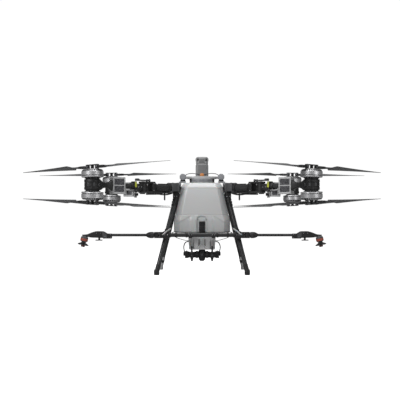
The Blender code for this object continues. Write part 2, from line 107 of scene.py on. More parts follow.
def gridShell(grid, place=None, wrapRows=False):
    # rows along the shape, columns closed round it; quads join neighbours, an n-gon caps each end
    grid = np.asarray(grid)
    rows, cols = grid.shape[:2]
    index = np.arange(rows * cols).reshape(rows, cols)
    if wrapRows:
        index = np.vstack([index, index[:1]])
    right = np.roll(index, -1, axis=1)
    quads = np.stack([index[:-1], right[:-1], right[1:], index[1:]], axis=-1).reshape(-1, 4)
    faces = quads.tolist()
    if not wrapRows:
        faces += [index[0][::-1].tolist(), index[-1].tolist()]
    points = grid.reshape(-1, 3)
    # signed volume: a sum of corner . (corner x corner) over the quads and caps, flipped when negative
    middle = points.mean(0)
    p = points - middle
    volume = np.einsum("ij,ij->i", p[quads[:, 0]], np.cross(p[quads[:, 1]], p[quads[:, 2]])).sum()
    volume += np.einsum("ij,ij->i", p[quads[:, 0]], np.cross(p[quads[:, 2]], p[quads[:, 3]])).sum()
    for face in faces[len(quads):]:
        ring = p[face]
        centre = ring.mean(0)
        volume += np.einsum("j,ij->i", centre, np.cross(ring, np.roll(ring, -1, axis=0))).sum()
    if volume < 0:
        faces = [face[::-1] for face in faces]
    return (points if place is None else carried(points, place)), faces


def turnedShell(profile, sides=40, place=None, closed=False):
    # surface of revolution: (r cos a, r sin a, h) for each (r, h) of the profile and each angle a
    profile = np.asarray(profile, float)
    a = np.linspace(0, 2 * math.pi, sides, endpoint=False)
    radius, height = profile[:, :1], np.repeat(profile[:, 1:], sides, axis=1)
    grid = np.stack([radius * np.cos(a), radius * np.sin(a), height], axis=-1)
    return gridShell(grid, place, closed)


def ringShell(profile, sides=40, place=None):
    # the same, for a profile that closes on itself, so the shell is a ring with a hole
    return turnedShell(profile, sides, place, True)


def tubeShell(path, radius, sides=16, place=None, squash=1.0):
    # a circle carried along the path, on a frame that is turned as little as possible from point to point
    path = np.asarray(path, float)
    tangent = np.gradient(path, axis=0)
    tangent /= np.linalg.norm(tangent, axis=1)[:, None]
    start = np.array([0.0, 0.0, 1.0]) if abs(tangent[0, 2]) < 0.9 else np.array([1.0, 0.0, 0.0])
    sideways = []
    last = start
    for t in tangent:
        last = unit(last - np.dot(last, t) * t)
        sideways.append(last)
    sideways = np.array(sideways)
    across = np.cross(tangent, sideways)
    a = np.linspace(0, 2 * math.pi, sides, endpoint=False)
    r = np.broadcast_to(np.asarray(radius, float), (len(path),))[:, None, None]
    grid = path[:, None] + r * (
        np.cos(a)[None, :, None] * sideways[:, None] * squash + np.sin(a)[None, :, None] * across[:, None]
    )
    return gridShell(grid, place)


def smoothPath(knots, steps=8):
    # Catmull-Rom: a cubic between neighbouring knots whose slope at each is half the step across it
    k = np.asarray(knots, float)
    k = np.vstack([2 * k[0] - k[1], k, 2 * k[-1] - k[-2]])
    t = np.linspace(0, 1, steps, endpoint=False)[None, :, None]
    a, b, c, d = (k[i:len(k) - 3 + i, None] for i in range(4))
    curve = 0.5 * (2 * b + (c - a) * t + (2 * a - 5 * b + 4 * c - d) * t**2 + (3 * b - a - 3 * c + d) * t**3)
    return np.vstack([curve.reshape(-1, 3), k[-2]])


def roundedOutline(halfX, halfY, corner, steps=4):
    # a rectangle whose corners are quarter circles
    a = np.linspace(0, math.pi / 2, steps + 1)
    turn = np.arange(4)[:, None] * math.pi / 2
    signX = np.array([1, -1, -1, 1])[:, None]
    signY = np.array([1, 1, -1, -1])[:, None]
    x = signX * (halfX - corner) + corner * np.cos(turn + a)
    y = signY * (halfY - corner) + corner * np.sin(turn + a)
    return np.stack([x.ravel(), y.ravel()], axis=-1)


def boxShell(xs, ys, zs, edge=0.003, place=None, corner=None, steps=3):
    # a rounded outline carried up z, drawn in along a quarter circle at both ends; one number is a half width
    xs, ys = ((-v, v) if np.isscalar(v) else v for v in (xs, ys))
    half = np.array([abs(xs[1] - xs[0]), abs(ys[1] - ys[0])]) / 2
    low, high = min(zs), max(zs)
    edge = min(edge, half.min() * 0.9, (high - low) * 0.45)
    corner = min(edge if corner is None else corner, half.min() * 0.98)
    a = np.linspace(0, math.pi / 2, steps + 1)
    inset = np.concatenate([edge * (1 - np.sin(a)), edge * (1 - np.cos(a))])
    height = np.concatenate([low + edge * (1 - np.cos(a)), high - edge * (1 - np.sin(a))])
    rings = []
    for shrink, z in zip(inset, height):
        outline = roundedOutline(half[0] - shrink, half[1] - shrink, max(corner - shrink, 0.0003), steps)
        rings.append(atHeight(outline, z))
    return gridShell(np.array(rings) + ((xs[0] + xs[1]) / 2, (ys[0] + ys[1]) / 2, 0.0), place)


def boxShells(place, *boxes):
    # several rounded boxes, each (xs, ys, zs, edge)
    return [boxShell(*box, place=place) for box in boxes]


def boltShell(place, radius=0.004, height=0.003):
    # cap screw: six flats, a chamfer and a sunk socket
    profile = [(radius * 0.98, 0), (radius, 0.0004), (radius, height * 0.75), (radius * 0.82, height),
               (radius * 0.5, height), (radius * 0.48, height * 0.45)]
    return turnedShell(profile, 12, place)


def addPiece(name, shells, look, body="airframe", sharp=32):
    # joins the shells into one mesh at the origin, its place in its points; the look names a finish
    points = np.vstack([s[0] for s in shells])
    faces = []
    start = 0
    for shellPoints, shellFaces in shells:
        faces += [[i + start for i in face] for face in shellFaces]
        start += len(shellPoints)
    mesh = bpy.data.meshes.new(name)
    mesh.from_pydata(points.tolist(), [], faces)
    mesh.validate()
    mesh.shade_smooth()
    mesh.set_sharp_from_angle(angle=math.radians(sharp))
    mesh.materials.append(finish[look])
    piece = bpy.data.objects.new(name, mesh)
    bpy.context.scene.collection.objects.link(piece)
    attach(piece, body)
    return piece


# finishes

def newMaterial(name, colour, roughness, metallic=0.0, **sockets):
    material = bpy.data.materials.new(name)
    material.use_nodes = True
    shader = material.node_tree.nodes["Principled BSDF"]
    shader.inputs["Base Color"].default_value = (*colour, 1.0)
    shader.inputs["Roughness"].default_value = roughness
    shader.inputs["Metallic"].default_value = metallic
    for key, value in sockets.items():
        shader.inputs[key.replace("_", " ")].default_value = value
    return material, material.node_tree.nodes, material.node_tree.links, shader


def objectCoords(nodes, links, scale=(1, 1, 1), turn=(0, 0, 0)):
    coords = nodes.new("ShaderNodeTexCoord")
    mapping = nodes.new("ShaderNodeMapping")
    mapping.inputs["Scale"].default_value = scale
    mapping.inputs["Rotation"].default_value = turn
    links.new(coords.outputs["Object"], mapping.inputs["Vector"])
    return mapping.outputs["Vector"]


def noiseAt(nodes, links, vector, scale, detail=4.0, roughness=0.5):
    noise = nodes.new("ShaderNodeTexNoise")
    noise.inputs["Scale"].default_value = scale
    noise.inputs["Detail"].default_value = detail
    noise.inputs["Roughness"].default_value = roughness
    links.new(vector, noise.inputs["Vector"])
    return noise.outputs["Fac"]


def rampOf(nodes, links, fac, stops):
    ramp = nodes.new("ShaderNodeValToRGB")
    elements = ramp.color_ramp.elements
    while len(elements) < len(stops):
        elements.new(0.5)
    for element, (position, colour) in zip(elements, stops):
        element.position = position
        element.color = (*colour, 1.0)
    links.new(fac, ramp.inputs["Fac"])
    return ramp.outputs["Color"]


def bumpFrom(nodes, links, shader, height, strength, distance):
    bump = nodes.new("ShaderNodeBump")
    bump.inputs["Strength"].default_value = strength
    bump.inputs["Distance"].default_value = distance
    links.new(height, bump.inputs["Height"])
    links.new(bump.outputs["Normal"], shader.inputs["Normal"])


def rangeOf(nodes, links, fac, low, high):
    spread = nodes.new("ShaderNodeMapRange")
    spread.inputs["To Min"].default_value = low
    spread.inputs["To Max"].default_value = high
    links.new(fac, spread.inputs["Value"])
    return spread.outputs["Result"]


def mouldedPlastic(name, colour, roughness=0.5, grain=900.0, variation=0.12, **sockets):
    # moulded plastic: cloudy tone, a fine leathery grain in the bump, uneven sheen
    material, nodes, links, shader = newMaterial(name, colour, roughness, **sockets)
    vector = objectCoords(nodes, links)
    cloud = noiseAt(nodes, links, vector, 7.0)
    dark = tuple(c * (1 - variation) for c in colour)
    light = tuple(min(1.0, c * (1 + variation)) for c in colour)
    links.new(rampOf(nodes, links, cloud, [(0.3, dark), (0.7, light)]), shader.inputs["Base Color"])
    speckle = noiseAt(nodes, links, vector, grain, 2.0)
    links.new(rangeOf(nodes, links, cloud, roughness - 0.07, roughness + 0.08), shader.inputs["Roughness"])
    bumpFrom(nodes, links, shader, speckle, 0.25, 0.0004)
    return material


def carbonWeave(name, colour, roughness=0.38, pitch=0.0032):
    # twill: two sets of slanting bands, one over the other in the squares of a checker
    material, nodes, links, shader = newMaterial(name, colour, roughness, Coat_Weight=0.15,
                                                 Coat_Roughness=0.25, Specular_IOR_Level=0.35)
    bands = []
    for turn in ((0.5, 0.35, 0.785), (0.5, 0.35, -0.785)):
        wave = nodes.new("ShaderNodeTexWave")
        wave.inputs["Scale"].default_value = 0.16 / pitch
        wave.inputs["Distortion"].default_value = 0.4
        links.new(objectCoords(nodes, links, turn=turn), wave.inputs["Vector"])
        bands.append(wave.outputs["Fac"])
    checker = nodes.new("ShaderNodeTexChecker")
    checker.inputs["Scale"].default_value = 0.5 / pitch
    links.new(objectCoords(nodes, links, turn=(0.5, 0.35, 0)), checker.inputs["Vector"])
    mix = nodes.new("ShaderNodeMix")
    links.new(checker.outputs["Fac"], mix.inputs["Factor"])
    links.new(bands[0], mix.inputs["A"])
    links.new(bands[1], mix.inputs["B"])
    low = tuple(c * 0.72 for c in colour)
    high = tuple(c * 1.45 for c in colour)
    links.new(rampOf(nodes, links, mix.outputs["Result"], [(0.2, low), (0.8, high)]),
              shader.inputs["Base Color"])
    bumpFrom(nodes, links, shader, mix.outputs["Result"], 0.15, 0.0003)
    return material


def satinMetal(name, colour, roughness=0.36, metallic=0.85, scratch=260.0):
    # anodised metal: fine turning marks in the sheen and a faint cloudy tone
    material, nodes, links, shader = newMaterial(name, colour, roughness, metallic)
    marks = noiseAt(nodes, links, objectCoords(nodes, links, scale=(1, 1, 9)), scratch, 3.0)
    cloud = noiseAt(nodes, links, objectCoords(nodes, links), 14.0)
    low = tuple(c * 0.86 for c in colour)
    high = tuple(min(1.0, c * 1.1) for c in colour)
    links.new(rampOf(nodes, links, cloud, [(0.3, low), (0.7, high)]), shader.inputs["Base Color"])
    links.new(rangeOf(nodes, links, marks, roughness - 0.1, roughness + 0.12), shader.inputs["Roughness"])
    bumpFrom(nodes, links, shader, marks, 0.08, 0.0003)
    return material


def tankPlastic(name, colour):
    # blown plastic: milky, a slow ripple in the wall, and painted light by height: darker towards the foot as
    # painted shade, lighter towards the top as a painted highlight
    material, nodes, links, shader = newMaterial(
        name, colour, 0.34, Coat_Weight=0.35, Coat_Roughness=0.16, Subsurface_Weight=0.12,
        Subsurface_Scale=0.02
    )
    vector = objectCoords(nodes, links)
    split = nodes.new("ShaderNodeSeparateXYZ")
    links.new(vector, split.inputs["Vector"])
    height = nodes.new("ShaderNodeMapRange")
    height.inputs["From Min"].default_value = 0.33
    height.inputs["From Max"].default_value = 0.75
    links.new(split.outputs["Z"], height.inputs["Value"])
    # painted shade at the foot and painted highlight at the top, ramped by height
    low = tuple(c * 0.88 for c in colour)
    high = tuple(min(1.0, c * 1.08) for c in colour)
    tone = rampOf(nodes, links, height.outputs["Result"], [(0.0, low), (0.35, colour), (1.0, high)])
    links.new(tone, shader.inputs["Base Color"])
    ripple = noiseAt(nodes, links, vector, 5.0, 2.0)
    links.new(rangeOf(nodes, links, noiseAt(nodes, links, vector, 30.0), 0.28, 0.42),
              shader.inputs["Roughness"])
    bumpFrom(nodes, links, shader, ripple, 0.25, 0.006)
    return material


def rubber(name, colour=(0.012, 0.012, 0.013), ribs=0.0):
    # rubber: matte, dusty in the cloudy parts, ribbed along z where asked
    material, nodes, links, shader = newMaterial(name, colour, 0.78)
    vector = objectCoords(nodes, links)
    dust = noiseAt(nodes, links, vector, 40.0)
    light = tuple(c * 2.4 + 0.004 for c in colour)
    links.new(rampOf(nodes, links, dust, [(0.35, colour), (0.8, light)]), shader.inputs["Base Color"])
    height = noiseAt(nodes, links, vector, 700.0, 2.0)
    if ribs:
        wave = nodes.new("ShaderNodeTexWave")
        wave.bands_direction = "Z"
        wave.inputs["Scale"].default_value = ribs
        links.new(vector, wave.inputs["Vector"])
        height = wave.outputs["Fac"]
    bumpFrom(nodes, links, shader, height, 0.3, 0.0006)
    return material


finish = {
    "carbonTube": carbonWeave("carbonTube", (0.019, 0.0195, 0.0205)),
    "bladeCarbon": carbonWeave("bladeCarbon", (0.042, 0.043, 0.046), 0.55, 0.0045),
    "blackPlastic": mouldedPlastic("blackPlastic", (0.012, 0.012, 0.0125), 0.5, Specular_IOR_Level=0.36),
    "charcoal": mouldedPlastic("charcoal", (0.05, 0.051, 0.054), 0.5),
    "motorSilver": satinMetal("motorSilver", (0.5, 0.5, 0.51), 0.38, 0.75),
    "boltSteel": satinMetal("boltSteel", (0.36, 0.36, 0.38), 0.3, 0.9, 600.0),
    "finSilver": satinMetal("finSilver", (0.25, 0.25, 0.268), 0.42, 0.5),
    # near-black finish: painted shade in the bell slots, the bell groove, the sump slits and between the
    # controller fins, and the real black of the sensor lenses
    "gapShadeAndLensBlack": mouldedPlastic("gapShadeAndLensBlack", (0.008, 0.008, 0.009), 0.7),
    "tankPlastic": tankPlastic("tankPlastic", (0.5, 0.506, 0.508)),
    "paleGrey": mouldedPlastic("paleGrey", (0.43, 0.432, 0.436), 0.45, variation=0.06),
    "shellGrey": mouldedPlastic("shellGrey", (0.24, 0.245, 0.26), 0.5, variation=0.08),
    "batteryGrey": mouldedPlastic("batteryGrey", (0.15, 0.151, 0.153), 0.5, variation=0.06),
    "batteryPale": mouldedPlastic("batteryPale", (0.27, 0.272, 0.275), 0.45, variation=0.06),
    "orange": mouldedPlastic("orange", (0.31, 0.06, 0.033), 0.45),
    "signalGreen": mouldedPlastic("signalGreen", (0.46, 0.5, 0.04), 0.5),
    "amber": mouldedPlastic("amber", (0.55, 0.22, 0.07), 0.45),
    "rubber": rubber("rubber"),
    "hoseRubber": rubber("hoseRubber", (0.014, 0.014, 0.015), ribs=120.0),
    "padRubber": rubber("padRubber", (0.01, 0.01, 0.01), ribs=60.0),
}
# the part's material slot that each finish stands for, listed pair by pair; the pairs are built and not kept,
# so no piece takes a slot from them
for slot, looks in (
    ("carbon_tube", ("carbonTube",)),
    ("blade_carbon", ("bladeCarbon",)),
    ("black_plastic", ("blackPlastic", "charcoal", "gapShadeAndLensBlack")),
    ("motor_silver", ("motorSilver", "boltSteel", "finSilver")),
    ("tank_plastic", ("tankPlastic",)),
    ("shell_plastic", ("paleGrey", "shellGrey", "signalGreen")),
    ("battery_shell", ("batteryGrey", "batteryPale")),
    ("orange_plastic", ("orange", "amber")),
    ("hose_rubber", ("rubber", "hoseRubber", "padRubber")),
):
    dict.fromkeys(looks, slot)
print("stage: finishes made,", len(finish))


# rotors: motor bells, hubs and blades

motor = {
    "bellRadius": 0.084,
    "bellLow": 0.0545,
    "bellTop": 0.116,
    "slots": 30,
    "bladePlane": 0.1335,
    "hubHalf": 0.064,
    "hubWidth": 0.018,
}


def rotorPlace(arm, level):
    # frame of a motor: origin at the middle of the pod, z out along the shaft, x towards blade a
    spin = joints[f"rotor_spin_{arm}_{level}"]
    hinge = joints[f"blade_fold_{arm}_{level}_a"]["pos_m"]
    out = np.array(spin["axis"], float) * (1 if level == "upper" else -1)
    origin = np.array(spin["pos_m"], float) - 0.085 * unit(out)
    return frameAt(origin, np.array(hinge) - origin, out)


def bellShells(place):
    # turned bell: thin rim, deep parting groove, plain band, then a sloping shoulder and a dished cap
    r, low, top = motor["bellRadius"], motor["bellLow"], motor["bellTop"]
    profile = [
        (0.03, low), (r - 0.006, low), (r - 0.003, low + 0.0008), (r - 0.0008, low + 0.003),
        (r - 0.0002, low + 0.005), (r - 0.0002, low + 0.0105), (r - 0.0012, low + 0.0115),
        (r - 0.0065, low + 0.0118), (r - 0.0065, low + 0.0152), (r - 0.0012, low + 0.0155),
        (r, low + 0.0165), (r, top - 0.018), (r - 0.0016, top - 0.016), (r - 0.0105, top - 0.003),
        (r - 0.013, top - 0.0012), (r - 0.03, top - 0.001), (r - 0.034, top - 0.004),
        (0.034, top - 0.004), (0.031, top - 0.001), (0.02, top + 0.0005),
    ]
    return [turnedShell(profile, 72, place)]


def bellSlotShells(place):
    # cooling windows: short near-black bars let into the sloping shoulder, and a ring of openings in the cap,
    # their near black painted shade inside the openings; a near-black ring in the parting groove is painted
    # shade in the groove
    r, top = motor["bellRadius"], motor["bellTop"]
    slope = math.degrees(math.atan2(0.0089, 0.013))
    shells = []
    for i in range(motor["slots"]):
        turn = place @ turnBy(360.0 * i / motor["slots"]) @ shiftBy(r - 0.0062, 0, top - 0.0094)
        turn = turn @ turnBy(-slope, "Y")
        shells.append(boxShell((-0.004, 0.0006), 0.0066, (-0.0066, 0.0066), 0.0012, turn, steps=2))
    for i in range(12):
        turn = place @ turnBy(30.0 * i + 7)
        shells.append(boxShell((0.037, 0.049), 0.0052, (top - 0.0055, top - 0.0034), 0.001, turn))
    # near-black ring at the floor of the parting groove: painted shade in the groove
    shells.append(ringShell([(r - 0.008, motor["bellLow"] + 0.012), (r - 0.0062, motor["bellLow"] + 0.012),
                             (r - 0.0062, motor["bellLow"] + 0.015), (r - 0.008, motor["bellLow"] + 0.015)],
                            56, place))
    return shells


def hubShells(place):
    # two clamp plates with round ends, a waist in the middle, and the shaft boss
    plane, half, width = motor["bladePlane"], motor["hubHalf"], motor["hubWidth"]
    u = np.linspace(0, 2 * math.pi, 72, endpoint=False)
    # stadium outline pinched by a cosine towards its middle
    x = np.clip(1.32 * np.cos(u), -1, 1) * (half - width) + np.cos(u) * width
    y = np.sin(u) * width * (0.74 + 0.26 * np.abs(x / half) ** 1.5)
    shells = []
    for low, high in ((-0.019, -0.0122), (0.0122, 0.019)):
        rings = []
        for inset, z in ((0.0012, low), (0, low + 0.0012), (0, high - 0.0012), (0.0012, high)):
            scale = 1 - inset / width
            rings.append(np.column_stack([x * scale, y * scale, np.full(72, plane + z)]))
        shells.append(gridShell(rings, place))
    boss = [(0.016, 0.108), (0.0165, plane - 0.012), (0.0125, plane - 0.009), (0.0125, plane + 0.009),
            (0.0165, plane + 0.012), (0.016, plane + 0.0175)]
    shells.append(turnedShell(boss, 32, place))
    return shells


def hubBoltShells(place):
    plane = motor["bladePlane"]
    shells = []
    for side in (-1, 1):
        shells.append(boltShell(place @ shiftBy(side * 0.048, 0, plane + 0.017), 0.0072, 0.0034))
        eye = [(0.006, -0.0135), (0.006, 0.0135)]
        shells.append(turnedShell(eye, 20, place @ shiftBy(side * 0.048, 0, plane)))
    for turn in (45, 135, 225, 315):
        spot = place @ turnBy(turn) @ shiftBy(0.0112, 0, plane + 0.0168)
        shells.append(boltShell(spot, 0.003, 0.003))
    return shells


blade = {
    "span": 0.712,
    "neck": 0.036,
    "chord": 0.108,
    "shoulder": (0.19, 0.24),
    "twist": (17.0, 11.0),
    "tipChord": 0.014,
}


def bladeShells(place, hand):
    # ellipse-like section carried out the span; chord = neck, a smooth step at the shoulder, then a
    # taper that pulls in to a fine tip; twist falls with the span; camber lifts the middle of the chord
    u = np.concatenate([np.linspace(0.015, 0.17, 8), np.linspace(0.18, 0.25, 12),
                        np.linspace(0.27, 0.9, 26), 0.9 + 0.1 * np.sin(np.linspace(0.1, math.pi / 2, 10))])
    low, high = blade["shoulder"]
    step = np.clip((u - low) / (high - low), 0, 1)
    step = step * step * (3 - 2 * step)
    taper = np.clip((u - high) / (1 - high), 0, 1)
    full = blade["chord"] + (blade["tipChord"] - blade["chord"]) * taper**1.02
    tip = np.sqrt(np.clip(1 - ((u - 0.985) / 0.0151).clip(0, 1) ** 2, 0.02, 1))
    chord = (blade["neck"] * (1 - step) + full * step) * tip
    thick = 0.0135 * (1 - step) + (0.0095 - 0.007 * u) * step
    twist = np.radians(blade["twist"][0] - blade["twist"][1] * u) * hand * step
    lead = 0.08 * (chord - blade["neck"]) * hand
    v = np.linspace(0, 2 * math.pi, 28, endpoint=False)
    along = 0.5 * np.cos(v)
    # thin towards the trailing edge, blunt at the leading one
    section = 0.5 * np.sin(v) * (1 + 0.45 * np.cos(v) * hand)
    y = chord[:, None] * along + lead[:, None]
    z = thick[:, None] * section + (0.035 * chord * step)[:, None] * (1 - 4 * along**2) * 0.6
    c, s = np.cos(twist)[:, None], np.sin(twist)[:, None]
    grid = np.stack([np.repeat(u[:, None] * blade["span"], 28, axis=1), y * c - z * s, y * s + z * c],
                    axis=-1)
    shells = [gridShell(grid, place)]
    eye = [(0.007, -0.0108), (0.015, -0.0108), (0.0163, -0.0095), (0.0163, 0.0095), (0.015, 0.0108),
           (0.007, 0.0108)]
    shells.append(ringShell(eye, 32, place))
    return shells


def cuffShells(place):
    # the metal cuff that grips the blade's root, with two through bolts
    rings = []
    for x, halfY, halfZ in ((0.014, 0.0165, 0.0098), (0.02, 0.0195, 0.0102), (0.07, 0.0195, 0.0098),
                            (0.082, 0.0185, 0.0086)):
        outline = roundedOutline(halfY, halfZ, 0.004)
        rings.append(atStation(outline, x))
    shells = [gridShell(rings, place)]
    for x in (0.036, 0.06):
        shells.append(boltShell(place @ shiftBy(x, 0, 0.0085), 0.0045, 0.0024))
        shells.append(boltShell(place @ shiftBy(x, 0, -0.0085) @ turnBy(180, "X"), 0.0045, 0.0024))
    return shells


bladeHand = {"front_left": 1, "front_right": -1, "rear_left": -1, "rear_right": 1}
for arm in armNames:
    for level in ("upper", "lower"):
        tag = f"{arm}_{level}"
        body = f"rotor_{tag}"
        place = rotorPlace(arm, level)
        bell = addPiece(f"bell_{tag}", bellShells(place), "motorSilver", body)
        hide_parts(f"motor_{tag}")
        # the slots and the groove ring are near black as painted shade in the openings and the groove
        addPiece(f"bellSlots_{tag}", bellSlotShells(place), "gapShadeAndLensBlack", body)
        addPiece(f"hub_{tag}", hubShells(place), "blackPlastic", body)
        addPiece(f"hubBolts_{tag}", hubBoltShells(place), "boltSteel", body)
        hand = bladeHand[arm] * (1 if level == "upper" else -1)
        for letter, turn in (("a", 0), ("b", 180)):
            root = place @ turnBy(turn) @ shiftBy(0.048, 0, motor["bladePlane"])
            rides = f"blade_{tag}_{letter}"
            piece = addPiece(f"bladeSkin_{tag}_{letter}", bladeShells(root, hand), "bladeCarbon", rides,
                             sharp=50)
            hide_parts(f"blade_{tag}_{letter}")
            addPiece(f"bladeCuff_{tag}_{letter}", cuffShells(root), "blackPlastic", rides)
print("stage: rotors made")


# arms: outer arm with controller and pod, and the root that stays on the frame

arm3d = {
    "reach": 0.4755,
    "tubeRadius": 0.021,
    "tubeZ": 0.706,
    "controller": ((0.186, 0.302), 0.026, (0.641, 0.772)),
    "fins": 13,
    "podRadius": 0.0625,
    "podZ": (0.669, 0.751),
    "rootZ": 0.694,
    "leverPin": (-0.05, 0.7528),
}


def armPlace(arm):
    # frame of an arm: origin under its hinge on the ground, x outwards along the arm, z up
    hinge = np.array(joints[f"arm_fold_{arm}"]["pos_m"], float)
    spin = np.array(joints[f"rotor_spin_{arm}_upper"]["pos_m"], float)
    hinge[2] = 0
    outwards = spin - hinge
    outwards[2] = 0
    return frameAt(hinge, outwards, (0, 0, 1))


def rodShell(start, end, radius, place, sides=32, edge=0.001, endRadius=None):
    # round bar between two points with its rims eased
    start, end = np.asarray(start, float), np.asarray(end, float)
    length = np.linalg.norm(end - start)
    last = radius if endRadius is None else endRadius
    side = (1, 0, 0) if abs(unit(end - start)[0]) < 0.9 else (0, 1, 0)
    bar = frameAt(start, side, end - start)
    profile = [(radius - edge, 0), (radius, edge), (last, length - edge), (last - edge, length)]
    return turnedShell(profile, sides, place @ bar)


def outerArmPieces(arm, place):
    body = f"arm_{arm}"
    z = arm3d["tubeZ"]
    tube = [rodShell((0.088, 0, z), (0.198, 0, z), arm3d["tubeRadius"], place, 40)]
    piece = addPiece(f"armTube_{arm}", tube, "carbonTube", body)
    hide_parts(f"arm_{arm}")

    knuckle = [(0.01, 0.6688), (0.0305, 0.6688), (0.032, 0.6705), (0.032, 0.69), (0.0308, 0.6915),
               (0.0308, 0.7045), (0.032, 0.706), (0.032, 0.7255), (0.0305, 0.7272), (0.01, 0.7272)]
    shells = [ringShell(knuckle, 48, place)]
    shells.append(boxShell((0.022, 0.08), 0.0255, (0.6716, 0.7244), 0.004, place))
    # catch: a bridge with raised flanges round the tube's mouth
    shells.append(boxShell((0.076, 0.099), 0.0262, (0.6625, 0.7415), 0.004, place, 0.004))
    shells.append(boxShell((0.081, 0.094), 0.0265, (0.668, 0.736), 0.002, place))
    collar = [(0.0215, 0.0), (0.0248, 0.0), (0.0256, 0.002), (0.0256, 0.024), (0.024, 0.027), (0.0215, 0.027)]
    mouth = place @ facing((0.0985, 0, z), "X")
    shells.append(ringShell(collar, 40, mouth))
    addPiece(f"armKnuckle_{arm}", shells, "blackPlastic", body)

    marks = [boxShell((0.0785, 0.0965), (s * 0.0255, s * 0.027), (0.696, 0.738), 0.0006,
                      place) for s in (-1, 1)]
    marks.append(boxShell((0.0785, 0.0965), 0.022, (0.74, 0.742), 0.0006, place))
    addPiece(f"lockMark_{arm}", marks, "signalGreen", body)

    bolts = []
    for x in (0.036, 0.062):
        for s in (-1, 1):
            bolts.append(boltShell(place @ facing((x, s * 0.025, 0.698), "Y", s), 0.0048, 0.003))
    for s in (-1, 1):
        for height in (0.672, 0.732):
            bolts.append(boltShell(place @ facing((0.0875, s * 0.0258, height - 0.001), "Y", s), 0.0034,
                                   0.0022))
    addPiece(f"armBolts_{arm}", bolts, "boltSteel", body)
    controllerPieces(arm, place, body)
    podPieces(arm, place, body)


def controllerPieces(arm, place, body):
    # motor controller: grey end frames, a mid band, and a stack of upright cooling fins on both faces
    (x0, x1), half, (z0, z1) = arm3d["controller"]
    frameShells = boxShells(
        place,
        ((x0, x0 + 0.012), half, (z0, z1), 0.004),
        ((x1 - 0.012, x1), half, (z0, z1), 0.004),
        ((x0 + 0.004, x1 - 0.004), half - 0.001, (z1 - 0.015, z1 - 0.0005), 0.003),
        ((x0 + 0.004, x1 - 0.004), half - 0.001, (z0 + 0.0005, z0 + 0.015), 0.003),
        ((x0 + 0.004, x1 - 0.004), half - 0.0015, (0.7035, 0.7105), 0.0015),
    )
    addPiece(f"controllerFrame_{arm}", frameShells, "paleGrey", body)
    # near-black core seen between the fins: painted shade between them
    core = [boxShell((x0 + 0.01, x1 - 0.01), half - 0.01, (z0 + 0.01, z1 - 0.01), 0.002, place)]
    addPiece(f"controllerCore_{arm}", core, "gapShadeAndLensBlack", body)
    fins = []
    count = arm3d["fins"]
    for i in range(count):
        x = x0 + 0.0165 + (x1 - x0 - 0.033) * i / (count - 1)
        for low, high in ((z0 + 0.013, 0.7045), (0.7095, z1 - 0.013)):
            fins.append(boxShell((x - 0.0013, x + 0.0013), half - 0.003, (low, high), 0.0006, place,
                                 steps=1))
    addPiece(f"controllerFins_{arm}", fins, "finSilver", body)
    # brackets under the tube and the cable tray beside them
    tray = boxShells(
        place,
        ((0.096, 0.177), 0.0175, (0.6705, 0.676), 0.001),
        ((0.1725, 0.1772), 0.017, (0.632, 0.69), 0.001),
        ((0.114, 0.12), 0.012, (0.6745, 0.69), 0.001),
    )
    addPiece(f"armTray_{arm}", tray, "paleGrey", body)
    wedge = [boxShell((0.15, 0.172), 0.013, (0.648, 0.671), 0.004, place)]
    wedge.append(tubeShell(smoothPath([(0.104, 0.011, 0.682), (0.13, 0.017, 0.684), (0.16, 0.018, 0.69),
                                       (0.187, 0.016, 0.7)]), 0.0042, 12, place))
    addPiece(f"armWedge_{arm}", wedge, "rubber", body)


def podPieces(arm, place, body):
    # waisted neck: rounded sections whose half width and half height follow smooth curves along the arm
    x = np.linspace(0.296, 0.428, 30)
    t = (x - x[0]) / (x[-1] - x[0])
    dip = np.sin(np.clip(t * 1.15, 0, 1) * math.pi) ** 0.7
    halfY = 0.024 + (0.036 - 0.024) * t - 0.0135 * dip
    halfZ = 0.048 + (0.038 - 0.048) * t - 0.0235 * dip
    rings = []
    for xi, hy, hz in zip(x, halfY, halfZ):
        outline = roundedOutline(hy, hz, min(hy, hz) * 0.55, 4)
        rings.append(atStation(outline, xi, 0.707))
    neck = [gridShell(rings, place)]
    addPiece(f"armNeck_{arm}", neck, "blackPlastic", body)

    centre = place @ shiftBy(arm3d["reach"], 0, 0)
    low, high = arm3d["podZ"]
    r = arm3d["podRadius"]
    pod = [(r - 0.006, low), (r - 0.002, low + 0.002), (r, low + 0.006), (r, low + 0.022),
           (r - 0.004, low + 0.026), (r - 0.004, high - 0.026), (r, high - 0.022), (r, high - 0.006),
           (r - 0.002, high - 0.002), (r - 0.006, high)]
    shells = [turnedShell(pod, 56, centre)]
    for level in ("upper", "lower"):
        stator = [(0.052, 0.004), (0.052, 0.048), (0.048, 0.0505), (0.03, 0.0537)]
        shells.append(turnedShell(stator, 48, rotorPlace(arm, level)))
    addPiece(f"pod_{arm}", shells, "blackPlastic", body)
    tabs = []
    for i in range(8):
        turn = centre @ turnBy(45.0 * i + 22.5)
        tabs.append(boxShell((r - 0.008, r - 0.0005), 0.006, (0.696, 0.724), 0.001, turn))
    for i in range(4):
        turn = centre @ turnBy(90.0 * i + 45)
        tabs.append(boltShell(turn @ facing((r - 0.0012, 0, high - 0.0135), "X"), 0.0042, 0.0022))
        tabs.append(boltShell(turn @ facing((r - 0.0012, 0, low + 0.0135), "X"), 0.0042, 0.0022))
    addPiece(f"podTabs_{arm}", tabs, "charcoal", body)
    # cooling coil of the stator, seen in the gap between bell and pod
    coils = []
    for level in ("upper", "lower"):
        for i in range(18):
            turn = rotorPlace(arm, level) @ turnBy(20.0 * i)
            coils.append(boxShell((0.05, 0.06), 0.006, (0.047, 0.0525), 0.0015, turn, steps=2))
    addPiece(f"statorTeeth_{arm}", coils, "charcoal", body)


